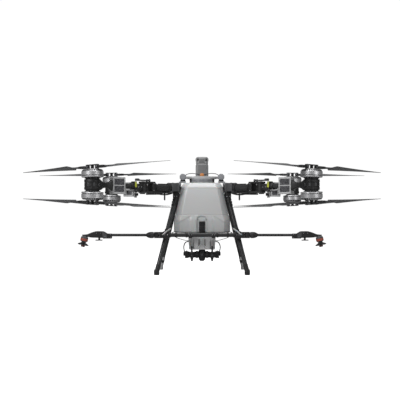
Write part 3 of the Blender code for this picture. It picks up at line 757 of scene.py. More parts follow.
def rootPieces(arm, place):
    # inner tube, the clevis that holds the hinge, clamps and everything clipped to them
    z = arm3d["rootZ"]
    pinX, pinZ = arm3d["leverPin"]
    tube = [rodShell((-0.2618, 0, z), (-0.09, 0, z), 0.03, place, 44)]
    piece = addPiece(f"rootTube_{arm}", tube, "carbonTube")
    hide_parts(f"arm_root_{arm}")
    clevis = [boxShell((-0.1, -0.07), 0.033, (0.655, 0.742), 0.003, place)]
    u = np.linspace(-math.pi / 2, math.pi / 2, 25)
    # lug outline: straight sides that end in a half circle round the pin
    nose = np.column_stack([0.034 * np.cos(u), 0.034 * np.sin(u)])
    outline = np.vstack([[(-0.078, -0.034)], nose, [(-0.078, 0.034)]])
    for low, high in ((0.6552, 0.6678), (0.7282, 0.7418)):
        rings = []
        for shrink, height in ((0.97, low), (1.0, low + 0.001), (1.0, high - 0.001), (0.97, high)):
            rings.append(atHeight(outline * shrink, height))
        clevis.append(gridShell(rings, place))
    for y in (-0.0175, 0.0175):
        ear = place @ facing((pinX, y, pinZ), "Y")
        clevis.append(turnedShell([(0.0075, -0.0028), (0.0088, -0.002), (0.0088, 0.002), (0.0075, 0.0028)],
                                  28, ear))
        clevis.append(boxShell((-0.0585, -0.0415), (y - 0.0028, y + 0.0028), (0.738, 0.753), 0.0008, place))
    clamp = [(0.0305, 0), (0.0345, 0), (0.0355, 0.001), (0.0355, 0.017), (0.0345, 0.018), (0.0305, 0.018)]
    for x in (-0.125, -0.258):
        clevis.append(ringShell(clamp, 44, place @ facing((x, 0, z), "X")))
    clevis.append(boxShell((-0.25, -0.15), 0.01, (0.7215, 0.729), 0.003, place))
    addPiece(f"clevis_{arm}", clevis, "blackPlastic")

    bolts = [boltShell(place @ shiftBy(0, 0, 0.741), 0.013, 0.0032),
             boltShell(place @ shiftBy(0, 0, 0.656) @ turnBy(180, "X"), 0.013, 0.001)]
    for s in (-1, 1):
        for height in (0.672, 0.726):
            bolts.append(boltShell(place @ facing((-0.085, s * 0.0322, height), "Y", s), 0.0042, 0.0024))
        ear = place @ facing((pinX, s * 0.0205, pinZ), "Y", s)
        bolts.append(boltShell(ear, 0.004, 0.0016))
    addPiece(f"rootBolts_{arm}", bolts, "boltSteel")

    # phase cables and hose clipped under the tube, both ends held
    cables = []
    for y, drop, r in ((-0.012, 0.0335, 0.0042), (0.0, 0.0365, 0.005), (0.012, 0.0335, 0.0042)):
        knots = [(-0.255, y, z - drop + 0.004), (-0.21, y, z - drop - 0.003),
                 (-0.165, y * 1.1, z - drop - 0.004), (-0.125, y, z - drop), (-0.098, y, z - drop + 0.004)]
        cables.append(tubeShell(smoothPath(knots), r, 12, place))
    addPiece(f"rootCables_{arm}", cables, "hoseRubber")
    if arm.startswith("front"):
        stick = [turnedShell([(0.004, 0.596), (0.0062, 0.6), (0.0062, 0.655), (0.0078, 0.657),
                              (0.0078, 0.672)], 24, place @ shiftBy(-0.215, 0, 0))]
        addPiece(f"antenna_{arm}", stick, "blackPlastic")


def leverPieces(arm, place):
    # over-centre lever: a bar that rises to a thumb rest, on a barrel
    body = f"arm_lock_{arm}"
    pinX, pinZ = arm3d["leverPin"]
    pivot = place @ shiftBy(pinX, 0, pinZ)
    x = np.linspace(-0.001, 0.118, 28)
    t = (x + 0.001) / 0.119
    top = 0.004 + 0.008 * np.clip((t - 0.68) / 0.2, 0, 1) ** 1.5
    half = 0.013 - 0.0035 * np.sin(np.clip(t * 1.4, 0, 1) * math.pi) + 0.0022 * np.clip((t - 0.7) / 0.3, 0, 1)
    rings = []
    low = -0.0068
    for xi, hi, hy in zip(x, top, half):
        outline = roundedOutline(hy, (hi - low) / 2, 0.003)
        rings.append(atStation(outline, xi, (hi + low) / 2))
    shells = [gridShell(rings, pivot)]
    barrel = [(0.0065, -0.0137), (0.0076, -0.0125), (0.0076, 0.0125), (0.0065, 0.0137)]
    shells.append(turnedShell(barrel, 28, pivot @ turnBy(90, "X")))
    for i in range(5):
        ridge = 0.092 + 0.005 * i
        shells.append(boxShell((ridge, ridge + 0.002), 0.0105, (0.01, 0.0128), 0.0008, pivot, steps=2))
    piece = addPiece(f"lever_{arm}", shells, "charcoal", body)
    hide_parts(f"arm_lock_{arm}")


for arm in armNames:
    place = armPlace(arm)
    outerArmPieces(arm, place)
    rootPieces(arm, place)
    leverPieces(arm, place)
print("stage: arms made")


# tank, lid and covers

tank = {
    "levels": (
        (0.335, 0.219, -0.32), (0.345, 0.2265, -0.3295), (0.438, 0.2268, -0.3298),
        (0.452, 0.2235, -0.3275), (0.48, 0.2138, -0.322), (0.52, 0.2058, -0.3188),
        (0.698, 0.1688, -0.304), (0.706, 0.167, -0.3015), (0.722, 0.16, -0.289), (0.734, 0.151, -0.276),
        (0.7385, 0.146, -0.27), (0.74, 0.139, -0.264),
    ),
    "back": 0.0545,
    "corner": 0.05,
    "flat": 0.85,
    "wall": 0.007,
    "seam": 0.48,
    "columns": 300,
    "recess": (0.044, 0.468, 0.011),
    "neckY": -0.16,
}


def flatCorners(halfX, halfY, corner, flat, steps=14):
    # rounded rectangle whose corner arcs are drawn in towards their chords by the share called flat
    outline = roundedOutline(halfX, halfY, corner, steps)
    reach = np.array([halfX - corner, halfY - corner])
    middle = np.clip(outline, -reach, reach)
    away = outline - middle
    angle = np.arctan2(np.abs(away[:, 1]), np.abs(away[:, 0])) - math.pi / 4
    return middle + away * (1 - flat + flat * math.cos(math.pi / 4) / np.cos(angle))[:, None]


def tankOutline(z, inset=0.0):
    # rounded rectangle of the tank at one height, walked round in equal steps
    levels = np.array(tank["levels"])
    half = np.interp(z, levels[:, 0], levels[:, 1]) - inset
    front = np.interp(z, levels[:, 0], levels[:, 2]) + inset
    back = tank["back"] - inset - 0.012 * np.clip((z - 0.725) / 0.015, 0, 1) ** 2
    outline = flatCorners(half, (back - front) / 2, tank["corner"] - inset, tank["flat"])
    outline[:, 1] += (back + front) / 2
    closed = np.vstack([outline, outline[:1]])
    walked = np.concatenate([[0], np.cumsum(np.linalg.norm(np.diff(closed, axis=0), axis=1))])
    at = np.linspace(0, walked[-1], tank["columns"], endpoint=False)
    return np.column_stack([np.interp(at, walked, closed[:, 0]), np.interp(at, walked, closed[:, 1])])


def softStep(value, edge, width):
    t = np.clip((value - edge) / width + 0.5, 0, 1)
    return t * t * (3 - 2 * t)


def pressTank(ring, z):
    # seam groove all round, a recess in the middle of the foot, and a slanting crease on each side of it
    x, y = ring[:, 0].copy(), ring[:, 1].copy()
    groove = 0.0022 * np.exp(-(((z - tank["seam"]) / 0.0016) ** 2))
    centre = np.array([0.0, -0.135])
    out = ring - centre
    out /= np.linalg.norm(out, axis=1)[:, None]
    ring = ring - groove * out
    front = softStep(-y, 0.27, 0.04)
    half, top, depth = tank["recess"]
    arch = top - 0.03 * np.clip(np.abs(x) / half, 0, 1.2) ** 4
    press = depth * (1 - softStep(np.abs(x), half, 0.008)) * (1 - softStep(z, arch, 0.012))
    ridge = 0.478 - (np.abs(x) - 0.085) * 0.62
    below = softStep(ridge - z, 0.0, 0.01) * softStep(np.abs(x), 0.09, 0.016)
    crease = 0.0045 * below * (1 - softStep(z, 0.474, 0.008))
    rib = 0.0016 * np.exp(-((z - 0.69 + 0.35 * x**2) / 0.0045) ** 2)
    ring[:, 1] += (press + crease + rib) * front
    return ring


def tankShells():
    # one skin: up the outside, over the deck to the neck, down its bore and the inner walls to the floor
    seam = tank["seam"]
    zs = np.unique(np.concatenate([np.linspace(0.335, 0.345, 7), np.linspace(0.35, 0.72, 76),
                                   seam + np.linspace(-0.005, 0.005, 13), np.linspace(0.722, 0.74, 14)]))
    rings = []
    for z in zs:
        # quarter circle at the foot: the skin draws in as it drops below the rounding's top
        below = max(0.345 - z, 0.0) / 0.01
        drawIn = 0.01 * (1 - math.sqrt(max(0.0, 1 - below**2)))
        outline = pressTank(tankOutline(z, 0.3 * drawIn), z)
        rings.append(atHeight(outline, z))
    centre = np.array([0.0, tank["neckY"]])

    def circleLike(outline, radius):
        away = outline - centre
        return centre + radius * away / np.linalg.norm(away, axis=1)[:, None]

    last = rings[-1][:, :2]
    for mix, radius, z in ((0.25, 0.08, 0.7402), (0.55, 0.08, 0.7403), (0.85, 0.08, 0.7404),
                           (1, 0.08, 0.7406), (1, 0.0798, 0.7452), (1, 0.079, 0.7458), (1, 0.0712, 0.7458),
                           (1, 0.0702, 0.745), (1, 0.0702, 0.734)):
        ring = (1 - mix) * last + mix * circleLike(last, radius)
        rings.append(atHeight(ring, z))
    inner = tankOutline(0.733, 0.01)
    for mix, z in ((0.6, 0.7332), (0.0, 0.733)):
        ring = (1 - mix) * inner + mix * circleLike(inner, 0.0702)
        rings.append(atHeight(ring, z))
    for z in (0.72, 0.7, 0.62, 0.52, 0.47, 0.44, 0.35, 0.342):
        ring = tankOutline(z, tank["wall"] + 0.006)
        rings.append(atHeight(ring, z))
    return [gridShell(rings)]


tankSkin = addPiece("tankSkin", tankShells(), "tankPlastic", sharp=40)
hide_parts("tank")


def tankFittings():
    # outlet and clip in the front recess, the raised line round them, and the level marks
    front = -0.3295
    outlet = [
        boxShell(0.024, (front + 0.001, front + 0.016), (0.3365, 0.428), 0.006),
        boxShell(0.016, (front - 0.004, front + 0.01), (0.342, 0.39), 0.004),
    ]
    for i in range(4):
        outlet.append(boxShell(0.021, (front - 0.0015, front + 0.004),
                               (0.398 + 0.007 * i, 0.4015 + 0.007 * i), 0.0012))
    addPiece("tankOutlet", outlet, "blackPlastic")
    lines = []
    for s in (-1, 1):
        knots = [(s * 0.04, front + 0.006, 0.466), (s * 0.036, front + 0.008, 0.45),
                 (s * 0.02, front + 0.01, 0.438), (s * 0.017, front + 0.01, 0.428)]
        lines.append(tubeShell(smoothPath(knots), 0.0028, 12))
        lines.append(boxShell((s * 0.0435 - 0.0012, s * 0.0435 + 0.0012), (front + 0.0005, front + 0.01),
                              (0.34, 0.452), 0.0008))
    addPiece("tankFunnel", lines, "paleGrey")
    gauge = []
    for i in range(7):
        gauge.append(boxShell((0.15 - 0.0075 * i, 0.16 - 0.0075 * i),
                              (-0.3185 + 0.0024 * i, -0.315 + 0.0024 * i),
                              (0.52 + 0.027 * i, 0.5215 + 0.027 * i), 0.0005))
    addPiece("tankGauge", gauge, "shellGrey")


tankFittings()


def lidPieces():
    # screw lid with a dished top and fine grips round its rim, on a small hinge
    centre = shiftBy(0, tank["neckY"], 0)
    profile = [(0.06, 0.747), (0.085, 0.747), (0.0868, 0.7486), (0.0868, 0.7545), (0.0845, 0.756),
               (0.0845, 0.758), (0.0862, 0.7595), (0.0862, 0.768), (0.0845, 0.7725), (0.08, 0.7752),
               (0.074, 0.7762), (0.05, 0.7766), (0.048, 0.7745), (0.02, 0.774)]
    shells = [turnedShell(profile, 96, centre)]
    shells.append(boxShell(0.021, (-0.088, -0.0625), (0.7495, 0.7615), 0.003))
    hinge = [(0.004, -0.0215), (0.0052, -0.0205), (0.0052, 0.0205), (0.004, 0.0215)]
    shells.append(turnedShell(hinge, 28, facing((0, -0.0655, 0.756), "X")))
    lid = addPiece("lid", shells, "shellGrey", "tank_cap")
    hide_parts("tank_cap")
    grips = []
    for i in range(48):
        turn = centre @ turnBy(7.5 * i)
        grips.append(boxShell((0.0845, 0.0869), 0.0014, (0.7602, 0.7672), 0.0005, turn, steps=1))
    grips.append(boxShell(0.036, 0.0045, (0.7735, 0.7769), 0.0014, centre))
    addPiece("lidGrips", grips, "charcoal", "tank_cap")
    seal = [ringShell([(0.0712, 0.7466), (0.078, 0.7466), (0.078, 0.7474), (0.0712, 0.7474)], 64, centre)]
    addPiece("lidSeal", seal, "rubber", "tank_cap")


lidPieces()


def coverPieces():
    # oval cover over the frame, its vented base, and the power plug with its cables
    u = np.linspace(0, 2 * math.pi, 96, endpoint=False)
    rings = []
    # oval plate, its rim rounded by a quarter circle top and bottom
    for grow, z in ((-0.006, 0.779), (-0.002, 0.7798), (0.0, 0.782), (0.0, 0.795), (-0.0015, 0.7985),
                    (-0.006, 0.8002), (-0.016, 0.8008), (-0.06, 0.8012)):
        rings.append(np.column_stack([(0.135 + grow) * np.cos(u), 0.018 + (0.062 + grow * 0.9) * np.sin(u),
                                      np.full(96, z)]))
    plate = [gridShell(rings)]
    piece = addPiece("topPlate", plate, "paleGrey")
    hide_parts("top_cover")
    base = [boxShell(0.098, (-0.044, 0.078), (0.7447, 0.78), 0.005)]
    base.append(boxShell(0.104, (-0.036, 0.07), (0.764, 0.7795), 0.003))
    addPiece("topCoverBase", base, "blackPlastic")
    vents = []
    for i in range(9):
        x = -0.064 + 0.016 * i
        vents.append(boxShell((x - 0.0045, x + 0.0045), (-0.0448, -0.0425), (0.75, 0.762), 0.001))
    addPiece("topCoverVents", vents, "charcoal")
    # plug between tank and battery, and the two thin cables that arch to it
    plug = boxShells(
        None,
        (0.0165, (0.0, 0.03), (0.799, 0.824), 0.003),
        (0.013, (-0.006, 0.002), (0.803, 0.82), 0.002),
        (0.0095, (0.004, 0.026), (0.823, 0.827), 0.0015),
    )
    addPiece("powerPlug", plug, "amber")
    cables = []
    for s in (-1, 1):
        knots = [(s * 0.15, -0.058, 0.786), (s * 0.142, -0.036, 0.804), (s * 0.118, -0.012, 0.82),
                 (s * 0.08, 0.004, 0.8255), (s * 0.045, 0.01, 0.8205), (s * 0.014, 0.013, 0.814)]
        cables.append(tubeShell(smoothPath(knots), 0.0028, 12))
    addPiece("topCables", cables, "rubber")


coverPieces()


# battery and its bay

def batteryPieces():
    low, high = (np.array(corner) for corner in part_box("battery"))
    x0, x1, y0, y1, z0, z1 = low[0], high[0], low[1], high[1], low[2], high[2]
    # tall case with flattened corners that narrows a little towards its carrying cap
    rings = []
    for z, inset in ((z0, 0.004), (z0 + 0.003, 0.001), (z0 + 0.2, 0.0006), (z1 - 0.064, 0.003),
                     (z1 - 0.06, 0.0055), (z1 - 0.057, 0.0055), (z1 - 0.053, 0.0022), (z1 - 0.014, 0.0034),
                     (z1 - 0.006, 0.006), (z1 - 0.002, 0.01), (z1 - 0.0003, 0.016)):
        outline = flatCorners((x1 - x0) / 2 - inset, (y1 - y0) / 2 - inset, 0.019 - inset * 0.4, 0.9, 8)
        outline += ((x0 + x1) / 2, (y0 + y1) / 2)
        rings.append(atHeight(outline, z))
    piece = addPiece("batteryCase", [gridShell(rings)], "batteryPale", "battery")
    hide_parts("battery")
    panels = []
    for y, into in ((y0 + 0.0003, 1), (y1 - 0.0003, -1)):
        panels.append(boxShell(0.0345, (y, y + into * 0.0045), (z0 + 0.01, z1 - 0.068), 0.0015,
                               corner=0.001))
        panels.append(boxShell(0.024, (y + into * 0.0012, y + into * 0.0065), (z1 - 0.052, z1 - 0.016),
                               0.0015))
    for s in (-1, 1):
        panels.append(boxShell((s * 0.05, s * 0.0538), (y0 + 0.03, y1 - 0.03), (z0 + 0.02, z1 - 0.07),
                               0.0012))
    addPiece("batteryPanels", panels, "batteryGrey", "battery")
    dark = []
    for s in (-1, 1):
        # grip recess at each top corner, filled by a black block as painted shade in the recess, with a bar
        # across it
        dark += boxShells(
            None,
            ((s * 0.03, s * 0.0543), (y0 + 0.03, y1 - 0.03), (z1 - 0.034, z1 - 0.012), 0.003),
            ((s * 0.0535, s * 0.0541), (y0 + 0.02, y1 - 0.02), (z0 + 0.24, z0 + 0.242), 0.0002),
            ((s * 0.029, s * 0.04), (y0 + 0.001, y0 + 0.008), (z1 - 0.036, z1 - 0.014), 0.0015),
        )
    addPiece("batteryGrips", dark, "blackPlastic", "battery")
    ribs = []
    for i in range(3):
        z = z0 + 0.262 + 0.03 * i
        ribs.append(boxShell(0.03, (y1 - 0.002, y1 - 0.0001), (z, z + 0.0045), 0.0008))
    ribs.append(boxShell(0.026, (y0 + 0.045, y1 - 0.045), (z1 - 0.003, z1 - 0.0001), 0.0008))
    addPiece("batteryRibs", ribs, "shellGrey", "battery")
    lights = []
    for i in range(4):
        lights.append(boxShell((-0.0165 + 0.009 * i, -0.0105 + 0.009 * i), (y0 + 0.028, y0 + 0.034),
                               (z1 - 0.0012, z1 - 0.0001), 0.0004))
    addPiece("batteryLights", lights, "signalGreen", "battery")


batteryPieces()


def bayPieces():
    # open bay behind the tank, the rear beam, and a sensor with two lenses
    bay = frame["nodes"]["battery_bay"]
    bay.data.materials.clear()
    bay.data.materials.append(finish["blackPlastic"])
    shells = []
    # upright ribs on the back wall and sides, and a rolled lip round the mouth
    for i in range(7):
        x = -0.084 + 0.028 * i
        shells.append(boxShell((x - 0.004, x + 0.004), (0.284, 0.2872), (0.52, 0.66), 0.0012))
    for s in (-1, 1):
        for i in range(5):
            y = 0.11 + 0.036 * i
            shells.append(boxShell((s * 0.104, s * 0.1085), (y - 0.004, y + 0.004), (0.515, 0.66), 0.0012))
    addPiece("bayRibs", shells, "charcoal")
    lip = []
    for s in (-1, 1):
        lip.append(boxShell((s * 0.06, s * 0.104), (0.09, 0.283), (0.7645, 0.77), 0.002))
    lip.append(boxShell(0.06, (0.265, 0.283), (0.7645, 0.77), 0.002))
    addPiece("bayLip", lip, "shellGrey")
    beam = frame["nodes"]["rear_beam"]
    beam.data.materials.clear()
    beam.data.materials.append(finish["carbonTube"])
    sensor = [boxShell(0.06, (0.3156, 0.356), (0.63, 0.75), 0.01, steps=5),
              boxShell(0.05, (0.354, 0.361), (0.64, 0.74), 0.003)]
    piece = addPiece("rearSensorCase", sensor, "blackPlastic")
    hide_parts("rear_sensor")
    eyes = []
    for x in (-0.028, 0.028):
        ring = [(0.008, 0.0), (0.016, 0.0), (0.0165, 0.0015), (0.015, 0.0035), (0.009, 0.003)]
        eyes.append(ringShell(ring, 40, facing((x, 0.3605, 0.7), "Y")))
    eyes.append(boxShell(0.036, (0.36, 0.3635), (0.655, 0.668), 0.0012))
    addPiece("rearSensorRings", eyes, "shellGrey")
    lenses = []
    for x in (-0.028, 0.028):
        dome = [(0.0088, 0.0), (0.0084, 0.0012), (0.006, 0.0026), (0.0025, 0.0032)]
        lenses.append(turnedShell(dome, 32, facing((x, 0.3604, 0.7), "Y")))
    addPiece("rearSensorLenses", lenses, "gapShadeAndLensBlack")


bayPieces()
print("stage: tank, covers and battery made")


# side frames and legs

def sideFramePieces(name, side):
    # long beam with pressed pockets drawn as flat black patches, painted shade in the pockets, a cheek
    # towards the tank, and an eight-sided knob on it
    shells = [boxShell((side * 0.1822, side * 0.2348), 0.3348, (0.6682, 0.7278), 0.006, steps=4)]
    for row in ("front", "rear"):
        place = armPlace(f"{row}_{name}")
        shells.append(boxShell((-0.338, -0.263), 0.0375, (0.6685, 0.7365), 0.005, place, 0.006))
    piece = addPiece(f"sideBeam_{name}", shells, "charcoal")
    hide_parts(f"side_frame_{name}")
    # flat black patches for the pockets: painted shade in the recesses
    trim = []
    for i in range(11):
        y = -0.235 + 0.047 * i
        trim.append(boxShell((side * 0.2342, side * 0.235), (y - 0.017, y + 0.017), (0.68, 0.716), 0.0004))
        trim.append(boxShell((side * 0.196, side * 0.22), (y - 0.015, y + 0.015), (0.7272, 0.7284), 0.0005))
    addPiece(f"beamPockets_{name}", trim, "blackPlastic")
    cheek = [boxShell((side * 0.1724, side * 0.1916), (-0.169, -0.051), (0.719, 0.7518), 0.004),
             boxShell((side * 0.134, side * 0.18), (-0.157, -0.063), (0.745, 0.76), 0.004)]
    addPiece(f"cheek_{name}", cheek, "shellGrey")
    base = [boxShell((side * 0.138, side * 0.177), (-0.16, -0.059), (0.756, 0.768), 0.002)]
    addPiece(f"knobBase_{name}", base, "blackPlastic")
    knob = frameAt((side * 0.157, -0.162, 0.7905), (math.cos(math.pi / 8), 0, math.sin(math.pi / 8)),
                   (0, 1, 0))
    profile = [(0.0225, 0.0002), (0.0245, 0.0006), (0.0282, 0.0045), (0.0282, 0.1), (0.0245, 0.1046),
               (0.0225, 0.1048)]
    shells = [turnedShell(profile, 8, knob)]
    addPiece(f"knob_{name}", shells, "shellGrey", sharp=20)
    face = [turnedShell([(0.015, -0.0002), (0.016, 0.0006), (0.016, 0.002)], 8, knob),
            boltShell(knob @ shiftBy(0, 0, 0.0008) @ turnBy(180, "X"), 0.006, 0.0012)]
    addPiece(f"knobFace_{name}", face, "shellGrey", sharp=20)
    bolts = []
    for row in ("front", "rear"):
        place = armPlace(f"{row}_{name}")
        for x in (-0.325, -0.278):
            for y in (-0.026, 0.026):
                bolts.append(boltShell(place @ shiftBy(x, y, 0.736), 0.005, 0.003))
    for i in range(6):
        y = -0.19 + 0.076 * i
        bolts.append(boltShell(shiftBy(side * 0.208, y, 0.7276), 0.004, 0.0026))
    addPiece(f"frameBolts_{name}", bolts, "boltSteel")


for name, side in bothSides:
    sideFramePieces(name, side)

leg = {
    "top": (0.2075, 0.262, 0.64),
    "foot": (0.361, 0.396, 0.022),
    "radius": 0.0173,
}


def legPieces(arm):
    sx = 1 if arm.endswith("right") else -1
    sy = 1 if arm.startswith("rear") else -1
    top = np.array(leg["top"]) * (sx, sy, 1)
    foot = np.array(leg["foot"]) * (sx, sy, 1)
    run = unit(foot - top)
    length = np.linalg.norm(foot - top)
    axis = frameAt(top, (0, 0, -1), run)

    def span(a, b, radius, sides=36, edge=0.001):
        profile = [(radius - edge, a), (radius, a + edge), (radius, b - edge), (radius - edge, b)]
        return turnedShell(profile, sides, axis)

    tube = [span(0.0, length, leg["radius"])]
    piece = addPiece(f"legTube_{arm}", tube, "carbonTube")
    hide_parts(f"leg_{arm}")
    xs = (sx * 0.1914, sx * 0.2356)
    ys = (sy * 0.2324, sy * 0.2916)
    head = [boxShell(xs, ys, (0.6165, 0.6674), 0.005, steps=4)]
    # socket with three raised bands, narrowing down the leg
    for start, end, radius in ((0.02, 0.05, 0.0212), (0.056, 0.07, 0.0222), (0.076, 0.096, 0.0205)):
        head.append(span(start, end, radius, 40, 0.002))
    if sy < 0:
        bossXs = (sx * 0.2625, sx * 0.3075)
        head.append(boxShell(bossXs, (-0.3568, -0.3125), (0.2975, 0.3425), 0.004))
        head.append(span(0.292, 0.368, 0.0212, 40, 0.002))
    addPiece(f"legSocket_{arm}", head, "blackPlastic")
    # rounded boot with a flat sole; the rear ones are pale with a dark sole
    boot = [(0.0168, 0.003), (0.0205, 0.004), (0.0218, 0.008), (0.0222, 0.015), (0.0222, 0.024),
            (0.0216, 0.033), (0.0204, 0.041), (0.019, 0.046)]
    sole = [(0.012, 0.0), (0.0165, 0.0), (0.02, 0.002), (0.0214, 0.0046), (0.0216, 0.006)]
    reach = 0.066 if sy < 0 else 0.098
    shells = [turnedShell(boot, 44, shiftBy(foot[0], foot[1], 0)),
              span(length - reach, length - 0.004, 0.0192, 40, 0.003)]
    if sy < 0:
        addPiece(f"legBoot_{arm}", shells, "blackPlastic")
    else:
        addPiece(f"legBoot_{arm}", shells, "paleGrey")
        clip = [span(length - 0.07, length - 0.046, 0.0202, 40, 0.001)]
        addPiece(f"legClip_{arm}", clip, "blackPlastic")
    addPiece(f"footPad_{arm}", [turnedShell(sole, 44, shiftBy(foot[0], foot[1], 0))], "padRubber")
    bolts = []
    for y in (0.244, 0.28):
        bolts.append(boltShell(facing((sx * 0.235, sy * y, 0.641), "X", sx), 0.0046, 0.001))
        bolts.append(boltShell(frameAt((sx * (0.204 if y < 0.26 else 0.224), sy * 0.291, 0.63), (0, 0, 1),
                                       (0, sy, 0)), 0.0044, 0.002))
    addPiece(f"legBolts_{arm}", bolts, "boltSteel")
    # pale strap that crosses the knuckle from the bar up to the leg
    if sy < 0:
        knots = [(sx * 0.3125, -0.442, 0.323), (sx * 0.3, -0.4445, 0.3325), (sx * 0.282, -0.43, 0.347),
                 (sx * 0.265, -0.395, 0.36), (sx * 0.253, -0.36, 0.369)]
        strap = [tubeShell(smoothPath(knots), 0.009, 18, squash=0.62)]
        addPiece(f"legStrap_{arm}", strap, "tankPlastic")


for arm in armNames:
    legPieces(arm)
print("stage: frames and legs made")


# spraying gear

crossbar = {
    "y": -0.42,
    "z": 0.32,
    "radius": 0.016,
    "pivotX": 0.36,
}


def crossbarPieces():
    # tube between the front legs, with clamps, collars and a fork at each end
    y, z, r = crossbar["y"], crossbar["z"], crossbar["radius"]
    line = facing((0, y, z), "X")
    tube = [turnedShell([(r - 0.001, -0.33), (r, -0.329), (r, 0.329), (r - 0.001, 0.33)], 36, line)]
    piece = addPiece("crossbarTube", tube, "carbonTube")
    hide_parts("crossbar")
    clamps = []
    bolts = []
    for side in (-1, 1):
        clamps += boxShells(
            None,
            ((side * 0.0775, side * 0.1065), (y - 0.0215, -0.327), (z - 0.0245, z + 0.0115), 0.004),
            ((side * 0.2625, side * 0.3115), (y - 0.0195, -0.3577), (z - 0.0295, z + 0.0295), 0.007),
            ((side * 0.3105, side * 0.339), (y - 0.0178, y + 0.0178), (z - 0.0247, z + 0.0247), 0.005),
        )
        band = [(r + 0.0002, -0.009), (r + 0.003, -0.008), (r + 0.0036, 0.0), (r + 0.003, 0.008),
                (r + 0.0002, 0.009)]
        for at in (0.122, 0.205, 0.256):
            clamps.append(ringShell(band, 36, line @ shiftBy(0, 0, side * at)))
        u = np.linspace(-math.pi / 2, math.pi / 2, 21)
        nose = np.column_stack([side * (crossbar["pivotX"] + 0.0203 * np.cos(u)), y + 0.0203 * np.sin(u)])
        outline = np.vstack([[(side * 0.33, y - 0.0172)], nose, [(side * 0.33, y + 0.0172)]])
        for low, high in ((0.0167, 0.0243), (-0.0243, -0.0167)):
            rings = [atHeight(outline, z + h) for h in (low, high)]
            clamps.append(gridShell(rings))
        for x in (0.092, 0.285):
            for s in (-1, 1):
                bolts.append(boltShell(facing((side * x + s * 0.0095, y - 0.0205, z + 0.002), "Y", -1),
                                       0.0036, 0.0014))
        bolts.append(boltShell(shiftBy(side * crossbar["pivotX"], y, z + 0.0241), 0.0085, 0.001))
    addPiece("crossbarClamps", clamps, "blackPlastic")
    addPiece("crossbarBolts", bolts, "boltSteel")
    # thin signal leads from the bar down to the sump
    leads = []
    for side in (-1, 1):
        knots = [(side * 0.205, y + 0.004, z - 0.018), (side * 0.196, y + 0.006, z - 0.024),
                 (side * 0.165, y + 0.03, z - 0.034), (side * 0.132, -0.345, z - 0.044),
                 (side * 0.109, -0.3, z - 0.046)]
        leads.append(tubeShell(smoothPath(knots), 0.0022, 10))
        knots = [(side * 0.24, y + 0.002, z + 0.0175), (side * 0.215, y + 0.004, z + 0.026),
                 (side * 0.17, y + 0.004, z + 0.022), (side * 0.13, y + 0.004, z + 0.019)]
        leads.append(tubeShell(smoothPath(knots), 0.003, 10))
    addPiece("signalLeads", leads, "rubber")


crossbarPieces()


